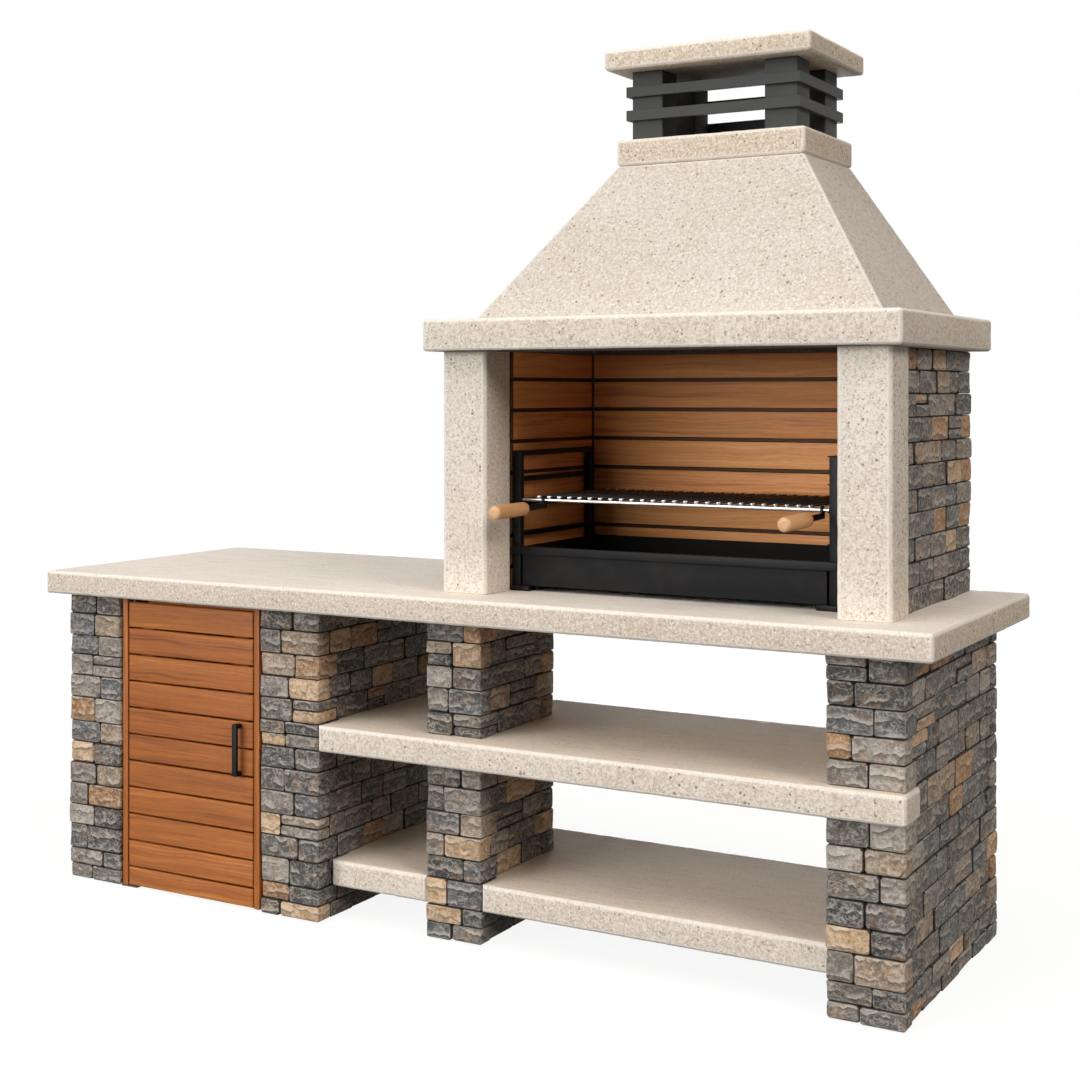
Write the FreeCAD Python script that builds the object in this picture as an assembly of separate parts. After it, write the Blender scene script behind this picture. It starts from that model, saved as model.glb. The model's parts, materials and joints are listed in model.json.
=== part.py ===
"""Masonry barbecue: a stone-clad bench with a cupboard and shelves, a firebox and a chimney.

Millimetres, +Z up, and -Y is the front. The origin is on the ground under the middle of the worktop.
"""

import FreeCAD
import Part

import math
import os
import random

V = FreeCAD.Vector

# Bench, from left to right
LEFT_OVERHANG = 50.0
LEFT_PIER_WIDTH = 200.0
CUPBOARD_WIDTH = 510.0
CABINET_PIER_WIDTH = 200.0
NARROW_BAY_WIDTH = 305.0
MIDDLE_PIER_WIDTH = 170.0
WIDE_BAY_WIDTH = 935.0
RIGHT_PIER_WIDTH = 190.0
RIGHT_OVERHANG = 80.0

# Bench, from front to back
WORKTOP_DEPTH = 860.0
FRONT_OVERHANG = 40.0
BACK_OVERHANG = 10.0
RIGHT_PIER_SETBACK = 20.0
MIDDLE_PIER_SETBACK = 55.0
MIDDLE_PIER_DEPTH = 395.0
SHELF_BACK_SETBACK = 160.0
BOTTOM_SHELF_SETBACK = 61.0

# Bench, upwards
WORKTOP_TOP = 900.0
WORKTOP_THICK = 66.0
MIDDLE_SHELF_HEIGHT = 462.0
BOTTOM_SHELF_HEIGHT = 90.0
SHELF_THICK = 70.0
SLAB_EASE = 6.0

# How a shelf is built into its piers
SHELF_BEARING = 80.0
SHELF_END_PROUD = 7.0
SHELF_END_RUN = 110.0

# Stonework
VENEER = 40.0
FACE_DEPTHS = (62.0, 95.0)
COURSE_HEIGHT = 58.0
COURSE_JITTER = 0.07
FACE_STONES = 2
SIDE_STONE_LENGTH = 118.0
SHORTEST_STONE = 24.0
STACKED_SHARE = 0.06
STACKED_SPLIT = (0.42, 0.58)
STONE_JOINT = 3.0
STONE_BEVEL = (3.0, 8.0)
STONE_RELIEF = 7.0
STONE_JITTER = 0.2
STONE_STAGGER = 0.3
GROUND_GAP = 3.0

# Firebox
FIREBOX_OPENING = 942.0
FIREBOX_HEIGHT = 627.0
COLUMN_SIZE = 132.0
COLUMN_EASE = 8.0
COLUMN_SETBACK = 120.0
SIDE_WALL_INSET = 8.0
BACK_WALL_SETBACK = 30.0
BACK_WALL_THICK = 98.0
LINING_THICK = 22.0
LINING_PITCH = 82.5
LINING_TOP_CUT = 6.0
LINING_GROOVE = 10.5
LINING_TONGUE = 12.0

# Lintel, hood and chimney
LINTEL_THICK = 83.0
LINTEL_SIDE_OVERHANG = 37.0
LINTEL_FRONT_OVERHANG = 40.0
LINTEL_BACK_OVERHANG = 8.0
SMOKE_LEDGE = 20.0
HOOD_HEIGHT = 417.0
HOOD_SIDE_INSET = 83.0
HOOD_FRONT_INSET = 125.0
HOOD_BACK_INSET = 20.0
HOOD_WALL = 50.0
COLLAR_WIDTH = 534.0
COLLAR_DEPTH = 362.0
COLLAR_THICK = 70.0
COLLAR_LIP = 4.0
POST_SIZE = 90.0
POST_HEIGHT = 184.0
BAND_HEIGHT = 28.0
BAND_THICK = 12.0
BAND_INSET = 20.0
LOWER_BAND_RISE = 52.0
BAND_SPACING = 63.0
CAP_OVERHANG = 25.0
CAP_THICK = 53.0

# Fire insert: the tray and the racks beside it, standing loose and nearer the left column
INSERT_WIDTH = 895.0
INSERT_SIDE_GAP = 4.0
INSERT_FRONT_GAP = 3.0
INSERT_BACK_GAP = 38.0
UPRIGHT_WIDTH = 22.0
UPRIGHT_DEPTH = 20.0
RAIL_RISES = (157.0, 234.0, 301.0, 368.0)
RAIL_HEIGHT = 15.0
RAIL_LEDGE = 12.0
RAIL_SHEET = 3.0
FOOT_LENGTH = 52.0
FOOT_DEPTH = 35.0
FOOT_HEIGHT = 14.0
TRAY_HEIGHT = 103.0
TRAY_SHEET = 3.0
TRAY_GAP = 6.0
LIP_HEIGHT = 21.0
LIP_THICK = 10.0

# Grill and its handles
GRILL_LEVEL = 1
GRILL_LIFT = 0.3
GRILL_BAR = 10.0
GRILL_CROSS_BAR = 8.0
GRILL_ROD = 6.0
GRILL_ROD_SIDES = 6
GRILL_ROD_PITCH = 30.0
GRILL_ROD_MARGIN = 43.0
GRILL_ROD_OVERRUN = 7.0
GRILL_SIDE_GAP = 3.0
GRILL_END_SET = 5.0
STRAP_HEIGHT = 14.0
STRAP_THICK = 5.0
STRAP_DROP = 14.0
STRAP_DROOP_DEG = 1.5
STRAP_REACH = 102.0
STRAP_TANG = 120.0
HOOK_RIM = 5.0
HOOK_EASE = 4.0
GRIP_LENGTH = 152.0
GRIP_DIAMETER = 36.0
GRIP_EASE = 4.0

# Cupboard door and its frame
DOOR_RECESS = 10.0
DOOR_TOP_GAP = 15.0
DOOR_FLOOR_GAP = 8.0
DOOR_SIDE_GAP = 4.0
JAMB_WIDTH = 18.0
JAMB_DEPTH = 60.0
JAMB_REBATE_WIDTH = 6.0
JAMB_REBATE_DEPTH = 24.0
PLANK_PITCH = 76.0
PLANK_GAP = 5.0
PLANK_THICK = 18.0
PLANK_EASE = 2.5
SHORTEST_CUT = 20.0
BATTEN_WIDTH = 50.0
BATTEN_THICK = 22.0
BATTEN_INSET = 30.0
BATTEN_END_GAP = 22.0
HEAD_STOP_HEIGHT = 48.0
HEAD_STOP_THICK = 22.0
HEAD_STOP_GAP = 2.0
HEAD_STOP_START = 40.0
PIVOT_INSET = 16.0
PIVOT_PIN = 8.0
PIVOT_REACH = 16.0
PIVOT_PLAY = 0.05
PIVOT_PLATE = 4.0
PIVOT_PLATE_REACH = 15.0
PIVOT_GAP = 2.0
HANDLE_WIDTH = 15.0
HANDLE_BAR = 8.0
HANDLE_POST = 12.0
HANDLE_LENGTH = 142.0
HANDLE_STANDOFF = 17.0
HANDLE_EDGE = 46.0
HANDLE_MIDDLE = 439.0
CATCH_WIDTH = 20.0
CATCH_DEPTH = 14.0
CATCH_HEIGHT = 45.0
CATCH_MIDDLE = 560.0
CATCH_GAP = 0.5
STRIKE_WIDTH = 12.0
STRIKE_THICK = 1.5

# Cupboard back
BACK_PANEL_SETBACK = 10.0
BACK_PANEL_THICK = 12.0
BACK_PANEL_GAP = 4.0
CLEAT_SIZE = 30.0

# Places along the bench
WORKTOP_LENGTH = (
    LEFT_OVERHANG + LEFT_PIER_WIDTH + CUPBOARD_WIDTH + CABINET_PIER_WIDTH + NARROW_BAY_WIDTH
    + MIDDLE_PIER_WIDTH + WIDE_BAY_WIDTH + RIGHT_PIER_WIDTH + RIGHT_OVERHANG
)
LEFT_PIER_X = -WORKTOP_LENGTH / 2 + LEFT_OVERHANG
CUPBOARD_X = LEFT_PIER_X + LEFT_PIER_WIDTH
CABINET_PIER_X = CUPBOARD_X + CUPBOARD_WIDTH
NARROW_BAY_X = CABINET_PIER_X + CABINET_PIER_WIDTH
MIDDLE_PIER_X = NARROW_BAY_X + NARROW_BAY_WIDTH
WIDE_BAY_X = MIDDLE_PIER_X + MIDDLE_PIER_WIDTH
RIGHT_PIER_X = WIDE_BAY_X + WIDE_BAY_WIDTH
RIGHT_PIER_END = RIGHT_PIER_X + RIGHT_PIER_WIDTH

# Places from front to back
FRONT = -WORKTOP_DEPTH / 2 + FRONT_OVERHANG
BACK = WORKTOP_DEPTH / 2 - BACK_OVERHANG
RIGHT_PIER_FRONT = FRONT + RIGHT_PIER_SETBACK
MIDDLE_PIER_FRONT = FRONT + MIDDLE_PIER_SETBACK
MIDDLE_PIER_BACK = MIDDLE_PIER_FRONT + MIDDLE_PIER_DEPTH
SHELF_BACK = BACK - SHELF_BACK_SETBACK
BOTTOM_SHELF_FRONT = FRONT + BOTTOM_SHELF_SETBACK

# Heights
WORKTOP_UNDER = WORKTOP_TOP - WORKTOP_THICK
BOTTOM_SHELF_TOP = BOTTOM_SHELF_HEIGHT + SHELF_THICK
MIDDLE_SHELF_TOP = MIDDLE_SHELF_HEIGHT + SHELF_THICK
LINTEL_UNDER = WORKTOP_TOP + FIREBOX_HEIGHT
HOOD_UNDER = LINTEL_UNDER + LINTEL_THICK
COLLAR_UNDER = HOOD_UNDER + HOOD_HEIGHT
COWL_UNDER = COLLAR_UNDER + COLLAR_THICK
CAP_UNDER = COWL_UNDER + POST_HEIGHT

# Firebox planes: the columns stand on the piers of the wide bay, flush with its left side
FIRE_LEFT = WIDE_BAY_X
FIRE_RIGHT = FIRE_LEFT + FIREBOX_OPENING
FIRE_MIDDLE = (FIRE_LEFT + FIRE_RIGHT) / 2
COLUMN_FRONT = -WORKTOP_DEPTH / 2 + COLUMN_SETBACK
COLUMN_BACK = COLUMN_FRONT + COLUMN_SIZE
FIRE_WALL_BACK = WORKTOP_DEPTH / 2 - BACK_WALL_SETBACK
BACK_WALL_FACE = FIRE_WALL_BACK - BACK_WALL_THICK
LINING_FACE = BACK_WALL_FACE - LINING_THICK

# Chimney planes
LINTEL_LEFT = FIRE_LEFT - COLUMN_SIZE - LINTEL_SIDE_OVERHANG
LINTEL_RIGHT = FIRE_RIGHT + COLUMN_SIZE + LINTEL_SIDE_OVERHANG
LINTEL_FRONT = COLUMN_FRONT - LINTEL_FRONT_OVERHANG
LINTEL_BACK = FIRE_WALL_BACK + LINTEL_BACK_OVERHANG
HOOD_BACK = LINTEL_BACK - HOOD_BACK_INSET
COLLAR_LEFT = FIRE_MIDDLE - COLLAR_WIDTH / 2
COLLAR_RIGHT = FIRE_MIDDLE + COLLAR_WIDTH / 2
COLLAR_BACK = HOOD_BACK + COLLAR_LIP
COLLAR_FRONT = COLLAR_BACK - COLLAR_DEPTH
POST_INSET = BAND_INSET + BAND_THICK

# Insert planes on the left; the right rack mirrors them about the middle of the insert
RACK_OUTER = FIRE_LEFT + INSERT_SIDE_GAP
RACK_INNER = RACK_OUTER + UPRIGHT_WIDTH
INSERT_MIDDLE = RACK_OUTER + INSERT_WIDTH / 2
INSERT_FRONT = COLUMN_BACK + INSERT_FRONT_GAP
INSERT_BACK = LINING_FACE - INSERT_BACK_GAP
TRAY_UNDER = WORKTOP_TOP + FOOT_HEIGHT
TRAY_TOP = TRAY_UNDER + TRAY_HEIGHT
RAIL_TOPS = [WORKTOP_TOP + rise for rise in RAIL_RISES]

# Grill planes
GRILL_LEFT = RACK_INNER + GRILL_SIDE_GAP
GRILL_RIGHT = 2 * INSERT_MIDDLE - GRILL_LEFT
GRILL_FRONT = INSERT_FRONT + GRILL_END_SET + GRILL_BAR / 2
GRILL_BACK = INSERT_BACK - GRILL_END_SET - GRILL_BAR / 2
GRILL_AXIS = RAIL_TOPS[GRILL_LEVEL] + GRILL_LIFT + GRILL_BAR / 2
GRILL_ROD_UNDER = GRILL_AXIS + GRILL_BAR / 2

# Door planes
DOOR_FACE = FRONT + DOOR_RECESS
DOOR_REAR = DOOR_FACE + PLANK_THICK
JAMB_INNER_LEFT = CUPBOARD_X + JAMB_REBATE_WIDTH + JAMB_WIDTH
JAMB_INNER_RIGHT = CABINET_PIER_X - JAMB_REBATE_WIDTH - JAMB_WIDTH
DOOR_LEFT = JAMB_INNER_LEFT + DOOR_SIDE_GAP
DOOR_RIGHT = JAMB_INNER_RIGHT - DOOR_SIDE_GAP
DOOR_TOP = WORKTOP_UNDER - DOOR_TOP_GAP
PIVOT_X = DOOR_LEFT + PIVOT_INSET
PIVOT_Y = DOOR_FACE + PLANK_THICK / 2
JAMB_LOW = DOOR_FLOOR_GAP - PIVOT_GAP

# Plan rectangles of the shelves as (x0, y0, x1, y1), notched round the stones that run past them
SHELF_SEAT = NARROW_BAY_X - VENEER - SHELF_BEARING
BOTTOM_SHELF_STEP = MIDDLE_PIER_FRONT + max(FACE_DEPTHS)
MIDDLE_SHELF_PLAN = [
    (NARROW_BAY_X, FRONT, RIGHT_PIER_END + SHELF_END_PROUD, FRONT + SHELF_END_RUN),
    (SHELF_SEAT, FRONT + SHELF_END_RUN, RIGHT_PIER_END - VENEER, SHELF_BACK),
]
BOTTOM_SHELF_PLAN = [
    (SHELF_SEAT, BOTTOM_SHELF_STEP, RIGHT_PIER_END - VENEER, SHELF_BACK),
    (NARROW_BAY_X, BOTTOM_SHELF_FRONT, MIDDLE_PIER_X, BOTTOM_SHELF_STEP),
    (WIDE_BAY_X, BOTTOM_SHELF_FRONT, RIGHT_PIER_X, BOTTOM_SHELF_STEP),
]

# Turn about Z that points a stone's face the right way, and whether its run is laid backwards
STONE_TURNS = {"front": (180, True), "right": (-90, True), "left": (90, False), "back": (0, False)}


def block(x0, x1, y0, y1, z0, z1):
    """A rectangular solid between six planes."""
    return Part.makeBox(x1 - x0, y1 - y0, z1 - z0, V(x0, y0, z0))


def prism(points, reach):
    """A flat outline drawn out along a vector."""
    return Part.Face(Part.makePolygon(points + points[:1])).extrude(reach)


def eased(shape, size, wanted=None):
    """The shape with its wanted edges, or all of them, taken off at 45 degrees."""
    edges = [edge for edge in shape.Edges if wanted is None or wanted(edge)]
    return shape.makeChamfer(size, edges)


def on_plane(edge, axis, value):
    """Whether an edge lies in the plane where the axis has that value."""
    return all(abs(getattr(v.Point, axis) - value) < 0.01 for v in edge.Vertexes)


def mirrored(shape, middle):
    """The shape's mirror image, left to right, about a middle plane."""
    return shape.mirror(V(middle, 0, 0), V(1, 0, 0))


def save(name, *shapes):
    """Write one piece, or a group of like pieces, as a named part."""
    solids = [solid for shape in shapes for solid in shape.Solids]
    group = solids[0] if len(solids) == 1 else Part.makeCompound(solids)
    group.exportStep(f"parts/{name}.step")


def courses(seed, levels):
    """Low and high z of each stone course; whole courses of uneven height fill the space between levels."""
    chance = random.Random(seed)
    rows = []
    for low, high in zip(levels, levels[1:]):
        count = max(1, round((high - low) / COURSE_HEIGHT))
        shares = [chance.uniform(1 - COURSE_JITTER, 1 + COURSE_JITTER) for _ in range(count)]
        edges = [low + (high - low) * sum(shares[:n]) / sum(shares) for n in range(count)] + [high]
        rows += zip(edges, edges[1:])
    return rows


def free_spans(start, end, strip, obstacles):
    """What is left of a run from start to end once the obstacles in its strip are taken out."""
    side, near, far = strip
    spans = [(start, end)]
    for x0, y0, x1, y1 in obstacles:
        along, across = ((x0, x1), (y0, y1)) if side in ("front", "back") else ((y0, y1), (x0, x1))
        if across[0] >= far or across[1] <= near:
            continue
        cut = []
        for low, high in spans:
            cut += [(low, min(high, along[0])), (max(low, along[1]), high)]
        spans = [(low, high) for low, high in cut if high - low > SHORTEST_STONE]
    return spans


def cut_points(chance, start, end, row, usual):
    """Joint places along a run of stones of a usual length, uneven and staggered from course to course."""
    count = max(1, round((end - start) / usual))
    shift = STONE_STAGGER / 2 if row % 2 else -STONE_STAGGER / 2
    steps = [0.0]
    steps += [n + shift + chance.uniform(-STONE_JITTER, STONE_JITTER) for n in range(1, count)]
    steps += [count]
    return [start + (end - start) * step / count for step in steps]


def face_depth(side, row):
    """How far front or back stones reach into a pier; from course to course, front and back take turns."""
    return FACE_DEPTHS[(row + (side == "back")) % 2]


def stone(chance, side, low, high, outer, depth, z0, z1):
    """One split-faced stone: full size where it is bedded, its face drawn in by a rough bevel."""
    turn, backwards = STONE_TURNS[side]
    bed = outer + depth if side in ("front", "left") else outer - depth
    length = high - low - STONE_JOINT
    height = z1 - z0 - STONE_JOINT
    reach = depth - chance.uniform(0.0, STONE_RELIEF)
    west, east, floor, top = (chance.uniform(*STONE_BEVEL) for _ in range(4))
    shape = Part.makeWedge(0, 0, 0, floor, west, length, reach, height, height - top, length - east)
    along = high - STONE_JOINT / 2 if backwards else low + STONE_JOINT / 2
    level = z0 + STONE_JOINT / 2
    corner = V(along, bed, level) if side in ("front", "back") else V(bed, along, level)
    shape.Placement = FreeCAD.Placement(corner, FreeCAD.Rotation(V(0, 0, 1), turn))
    return shape


def stacked(chance, low, high):
    """Heights of the one stone, or now and then two thin ones, that fill a place in a course."""
    if high - low < COURSE_HEIGHT * (1 - COURSE_JITTER) or chance.random() > STACKED_SHARE:
        return [(low, high)]
    middle = low + (high - low) * chance.uniform(*STACKED_SPLIT)
    return [(low, middle), (middle, high)]


def clad(seed, plan, sides, rows, slabs=()):
    """Stones laid in courses on the given sides of a rectangular pier or wall.

    Front and back stones run to the corners, and the side stones lie between them. A slab is
    (plan rectangles, low z, high z), and no stone is laid where it passes.
    """
    chance = random.Random(seed)
    x0, y0, x1, y1 = plan
    planes = {"front": y0, "back": y1, "left": x0, "right": x1}
    stones = []
    for row, (low, high) in enumerate(rows):
        passing = [r for rects, z0, z1 in slabs if z0 < high - 1 and z1 > low + 1 for r in rects]
        floor = max(low, GROUND_GAP)
        for side in sides:
            outer = planes[side]
            if side in ("front", "back"):
                depth = face_depth(side, row)
                usual = (x1 - x0) / FACE_STONES
                start, end = x0, x1
            else:
                depth = VENEER
                usual = SIDE_STONE_LENGTH
                start = y0 + face_depth("front", row) * ("front" in sides)
                end = y1 - face_depth("back", row) * ("back" in sides)
            inward = depth if side in ("front", "left") else -depth
            strip = (side, min(outer, outer + inward), max(outer, outer + inward))
            for span in free_spans(start, end, strip, passing):
                places = cut_points(chance, *span, row, usual)
                for a, b in zip(places, places[1:]):
                    for z0, z1 in stacked(chance, floor, high):
                        stones.append(stone(chance, side, a, b, outer, depth, z0, z1))
    return stones


def core(plan, sides, rows):
    """The mortared core of a pier that carries the worktop, stepped to meet the stones of each course."""
    x0, y0, x1, y1 = plan
    steps = [
        block(
            x0 + VENEER * ("left" in sides), x1 - VENEER * ("right" in sides),
            y0 + face_depth("front", row), y1 - face_depth("back", row), low, high,
        )
        for row, (low, high) in enumerate(rows)
    ]
    return steps[0].fuse(steps[1:]).removeSplitter()


def shelf(plan, z0, visible):
    """A cast shelf slab whose visible arrises are eased."""
    slab = block(plan[0][0], plan[0][2], plan[0][1], plan[0][3], z0, z0 + SHELF_THICK)
    for x0, y0, x1, y1 in plan[1:]:
        slab = slab.fuse(block(x0, x1, y0, y1, z0, z0 + SHELF_THICK))
    return eased(slab.removeSplitter(), SLAB_EASE, visible)


def frame_slab(x0, x1, y0, y1, z0, z1, hole):
    """A slab with eased outer arrises and a rectangular hole (x0, x1, y0, y1)."""
    slab = eased(block(x0, x1, y0, y1, z0, z1), SLAB_EASE)
    return slab.cut(block(*hole, z0 - 1, z1 + 1))


def board_rows(low, high, pitch, gap):
    """Board edges from the top down; the lowest board is cut to fit, or the one above it is taller."""
    rows = []
    top = high
    while top - pitch > low + SHORTEST_CUT:
        rows.append((top - pitch + gap, top))
        top -= pitch
    rows.append((low, top))
    return rows


def make_bench():
    """Worktop, shelves, piers and their stones."""
    half = WORKTOP_LENGTH / 2
    top = block(-half, half, -WORKTOP_DEPTH / 2, WORKTOP_DEPTH / 2, WORKTOP_UNDER, WORKTOP_TOP)
    save("worktop_slab", eased(top, SLAB_EASE))

    shelf_end = RIGHT_PIER_END + SHELF_END_PROUD
    middle = shelf(
        MIDDLE_SHELF_PLAN, MIDDLE_SHELF_HEIGHT,
        lambda edge: on_plane(edge, "y", FRONT) or on_plane(edge, "x", shelf_end),
    )
    bottom = shelf(
        BOTTOM_SHELF_PLAN, BOTTOM_SHELF_HEIGHT, lambda edge: on_plane(edge, "y", BOTTOM_SHELF_FRONT)
    )
    save("middle_shelf", middle)
    save("bottom_shelf", bottom)

    levels = [
        0, BOTTOM_SHELF_HEIGHT, BOTTOM_SHELF_TOP, MIDDLE_SHELF_HEIGHT, MIDDLE_SHELF_TOP, WORKTOP_UNDER
    ]
    slabs = [
        (MIDDLE_SHELF_PLAN, MIDDLE_SHELF_HEIGHT, MIDDLE_SHELF_TOP),
        (BOTTOM_SHELF_PLAN, BOTTOM_SHELF_HEIGHT, BOTTOM_SHELF_TOP),
    ]
    piers = {
        "left_pier": ((LEFT_PIER_X, FRONT, CUPBOARD_X, BACK), ("front", "left", "back")),
        "cabinet_pier": ((CABINET_PIER_X, FRONT, NARROW_BAY_X, BACK), ("front", "right", "back")),
        "middle_pier": (
            (MIDDLE_PIER_X, MIDDLE_PIER_FRONT, WIDE_BAY_X, MIDDLE_PIER_BACK),
            ("front", "left", "right", "back"),
        ),
        "right_pier": (
            (RIGHT_PIER_X, RIGHT_PIER_FRONT, RIGHT_PIER_END, BACK), ("front", "left", "right", "back")
        ),
    }
    for name, (plan, sides) in piers.items():
        rows = courses(name, levels)
        save(f"{name}_core", core(plan, sides, rows).cut([middle, bottom]))
        save(f"{name}_stones", *clad(name, plan, sides, rows, slabs))


def make_cupboard():
    """Door frame with its pivots, head stop and catch, and the cupboard's back."""
    rebate = CUPBOARD_X + JAMB_REBATE_WIDTH
    shoulder = DOOR_FACE + JAMB_REBATE_DEPTH
    rear = DOOR_FACE + JAMB_DEPTH
    section = [
        (rebate, DOOR_FACE), (JAMB_INNER_LEFT, DOOR_FACE), (JAMB_INNER_LEFT, rear),
        (CUPBOARD_X, rear), (CUPBOARD_X, shoulder), (rebate, shoulder),
    ]
    jamb = prism([V(x, y, JAMB_LOW) for x, y in section], V(0, 0, WORKTOP_UNDER - JAMB_LOW))
    save("left_door_jamb", jamb)
    save("right_door_jamb", mirrored(jamb, (CUPBOARD_X + CABINET_PIER_X) / 2))

    plate_end = PIVOT_X + PIVOT_PLATE_REACH
    plate = block(CUPBOARD_X, plate_end, DOOR_FACE, DOOR_REAR, JAMB_LOW - PIVOT_PLATE, JAMB_LOW)
    pin = Part.makeCylinder(PIVOT_PIN / 2, PIVOT_GAP + PIVOT_REACH, V(PIVOT_X, PIVOT_Y, JAMB_LOW))
    save("bottom_pivot", plate.fuse(pin))
    plate_low = WORKTOP_UNDER - PIVOT_PLATE
    plate = block(PIVOT_X - PIVOT_PLATE_REACH, plate_end, DOOR_FACE, DOOR_REAR, plate_low, WORKTOP_UNDER)
    pin_low = DOOR_TOP - PIVOT_REACH
    pin = Part.makeCylinder(PIVOT_PIN / 2, plate_low - pin_low, V(PIVOT_X, PIVOT_Y, pin_low))
    save("top_pivot", plate.fuse(pin))

    stop_front = DOOR_REAR + HEAD_STOP_GAP
    save("door_head_stop", block(
        PIVOT_X + HEAD_STOP_START, JAMB_INNER_RIGHT, stop_front, stop_front + HEAD_STOP_THICK,
        WORKTOP_UNDER - HEAD_STOP_HEIGHT, WORKTOP_UNDER,
    ))

    catch_front = DOOR_REAR + STRIKE_THICK + CATCH_GAP
    save("magnet_catch", eased(block(
        JAMB_INNER_RIGHT - CATCH_WIDTH, JAMB_INNER_RIGHT, catch_front, catch_front + CATCH_DEPTH,
        CATCH_MIDDLE - CATCH_HEIGHT / 2, CATCH_MIDDLE + CATCH_HEIGHT / 2,
    ), CATCH_GAP))

    panel_back = BACK - VENEER - BACK_PANEL_SETBACK
    panel_front = panel_back - BACK_PANEL_THICK
    low = BACK_PANEL_GAP
    high = WORKTOP_UNDER - BACK_PANEL_GAP
    save("cupboard_back_panel", block(CUPBOARD_X, CABINET_PIER_X, panel_front, panel_back, low, high))
    cleat_front = panel_front - CLEAT_SIZE
    save(
        "cupboard_back_cleats",
        block(CUPBOARD_X, CUPBOARD_X + CLEAT_SIZE, cleat_front, panel_front, low, high),
        block(CABINET_PIER_X - CLEAT_SIZE, CABINET_PIER_X, cleat_front, panel_front, low, high),
    )


def make_door():
    """The plank door that turns on two hidden pivots."""
    holes = [
        Part.makeCylinder(PIVOT_PIN / 2 + PIVOT_PLAY, PIVOT_REACH + 1, V(PIVOT_X, PIVOT_Y, low))
        for low in (DOOR_FLOOR_GAP - 1, DOOR_TOP - PIVOT_REACH)
    ]
    planks = []
    for low, high in board_rows(DOOR_FLOOR_GAP, DOOR_TOP, PLANK_PITCH, PLANK_GAP):
        plank = block(DOOR_LEFT, DOOR_RIGHT, DOOR_FACE, DOOR_REAR, low, high)
        planks.append(eased(plank, PLANK_EASE, lambda edge: on_plane(edge, "y", DOOR_FACE)).cut(holes))
    save("door_planks", *planks)

    low = DOOR_FLOOR_GAP + BATTEN_END_GAP
    high = WORKTOP_UNDER - HEAD_STOP_HEIGHT - BATTEN_END_GAP
    save("door_battens", *(
        block(x, x + BATTEN_WIDTH, DOOR_REAR, DOOR_REAR + BATTEN_THICK, low, high)
        for x in (DOOR_LEFT + BATTEN_INSET, DOOR_RIGHT - BATTEN_INSET - BATTEN_WIDTH)
    ))

    x0 = DOOR_RIGHT - HANDLE_EDGE - HANDLE_WIDTH / 2
    x1 = x0 + HANDLE_WIDTH
    bar_back = DOOR_FACE - HANDLE_STANDOFF
    low = HANDLE_MIDDLE - HANDLE_LENGTH / 2
    high = HANDLE_MIDDLE + HANDLE_LENGTH / 2
    save(
        "door_handle",
        block(x0, x1, bar_back - HANDLE_BAR, bar_back, low, high),
        *(block(x0, x1, bar_back, DOOR_FACE, z, z + HANDLE_POST) for z in (low, high - HANDLE_POST)),
    )
    save("strike_plate", block(
        DOOR_RIGHT - STRIKE_WIDTH, DOOR_RIGHT, DOOR_REAR, DOOR_REAR + STRIKE_THICK,
        CATCH_MIDDLE - CATCH_HEIGHT / 2, CATCH_MIDDLE + CATCH_HEIGHT / 2,
    ))


def lining_board(corner, into, run, low, high):
    """One wood-effect board: a shiplap section whose lower edge is set back to show a groove."""
    def at(depth, z):
        return corner + into * depth + V(0, 0, z)

    section = [
        at(0, low), at(LINING_TONGUE, low), at(LINING_TONGUE, low + LINING_GROOVE),
        at(LINING_THICK, low + LINING_GROOVE), at(LINING_THICK, high), at(0, high),
    ]
    return prism(section, run)


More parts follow.
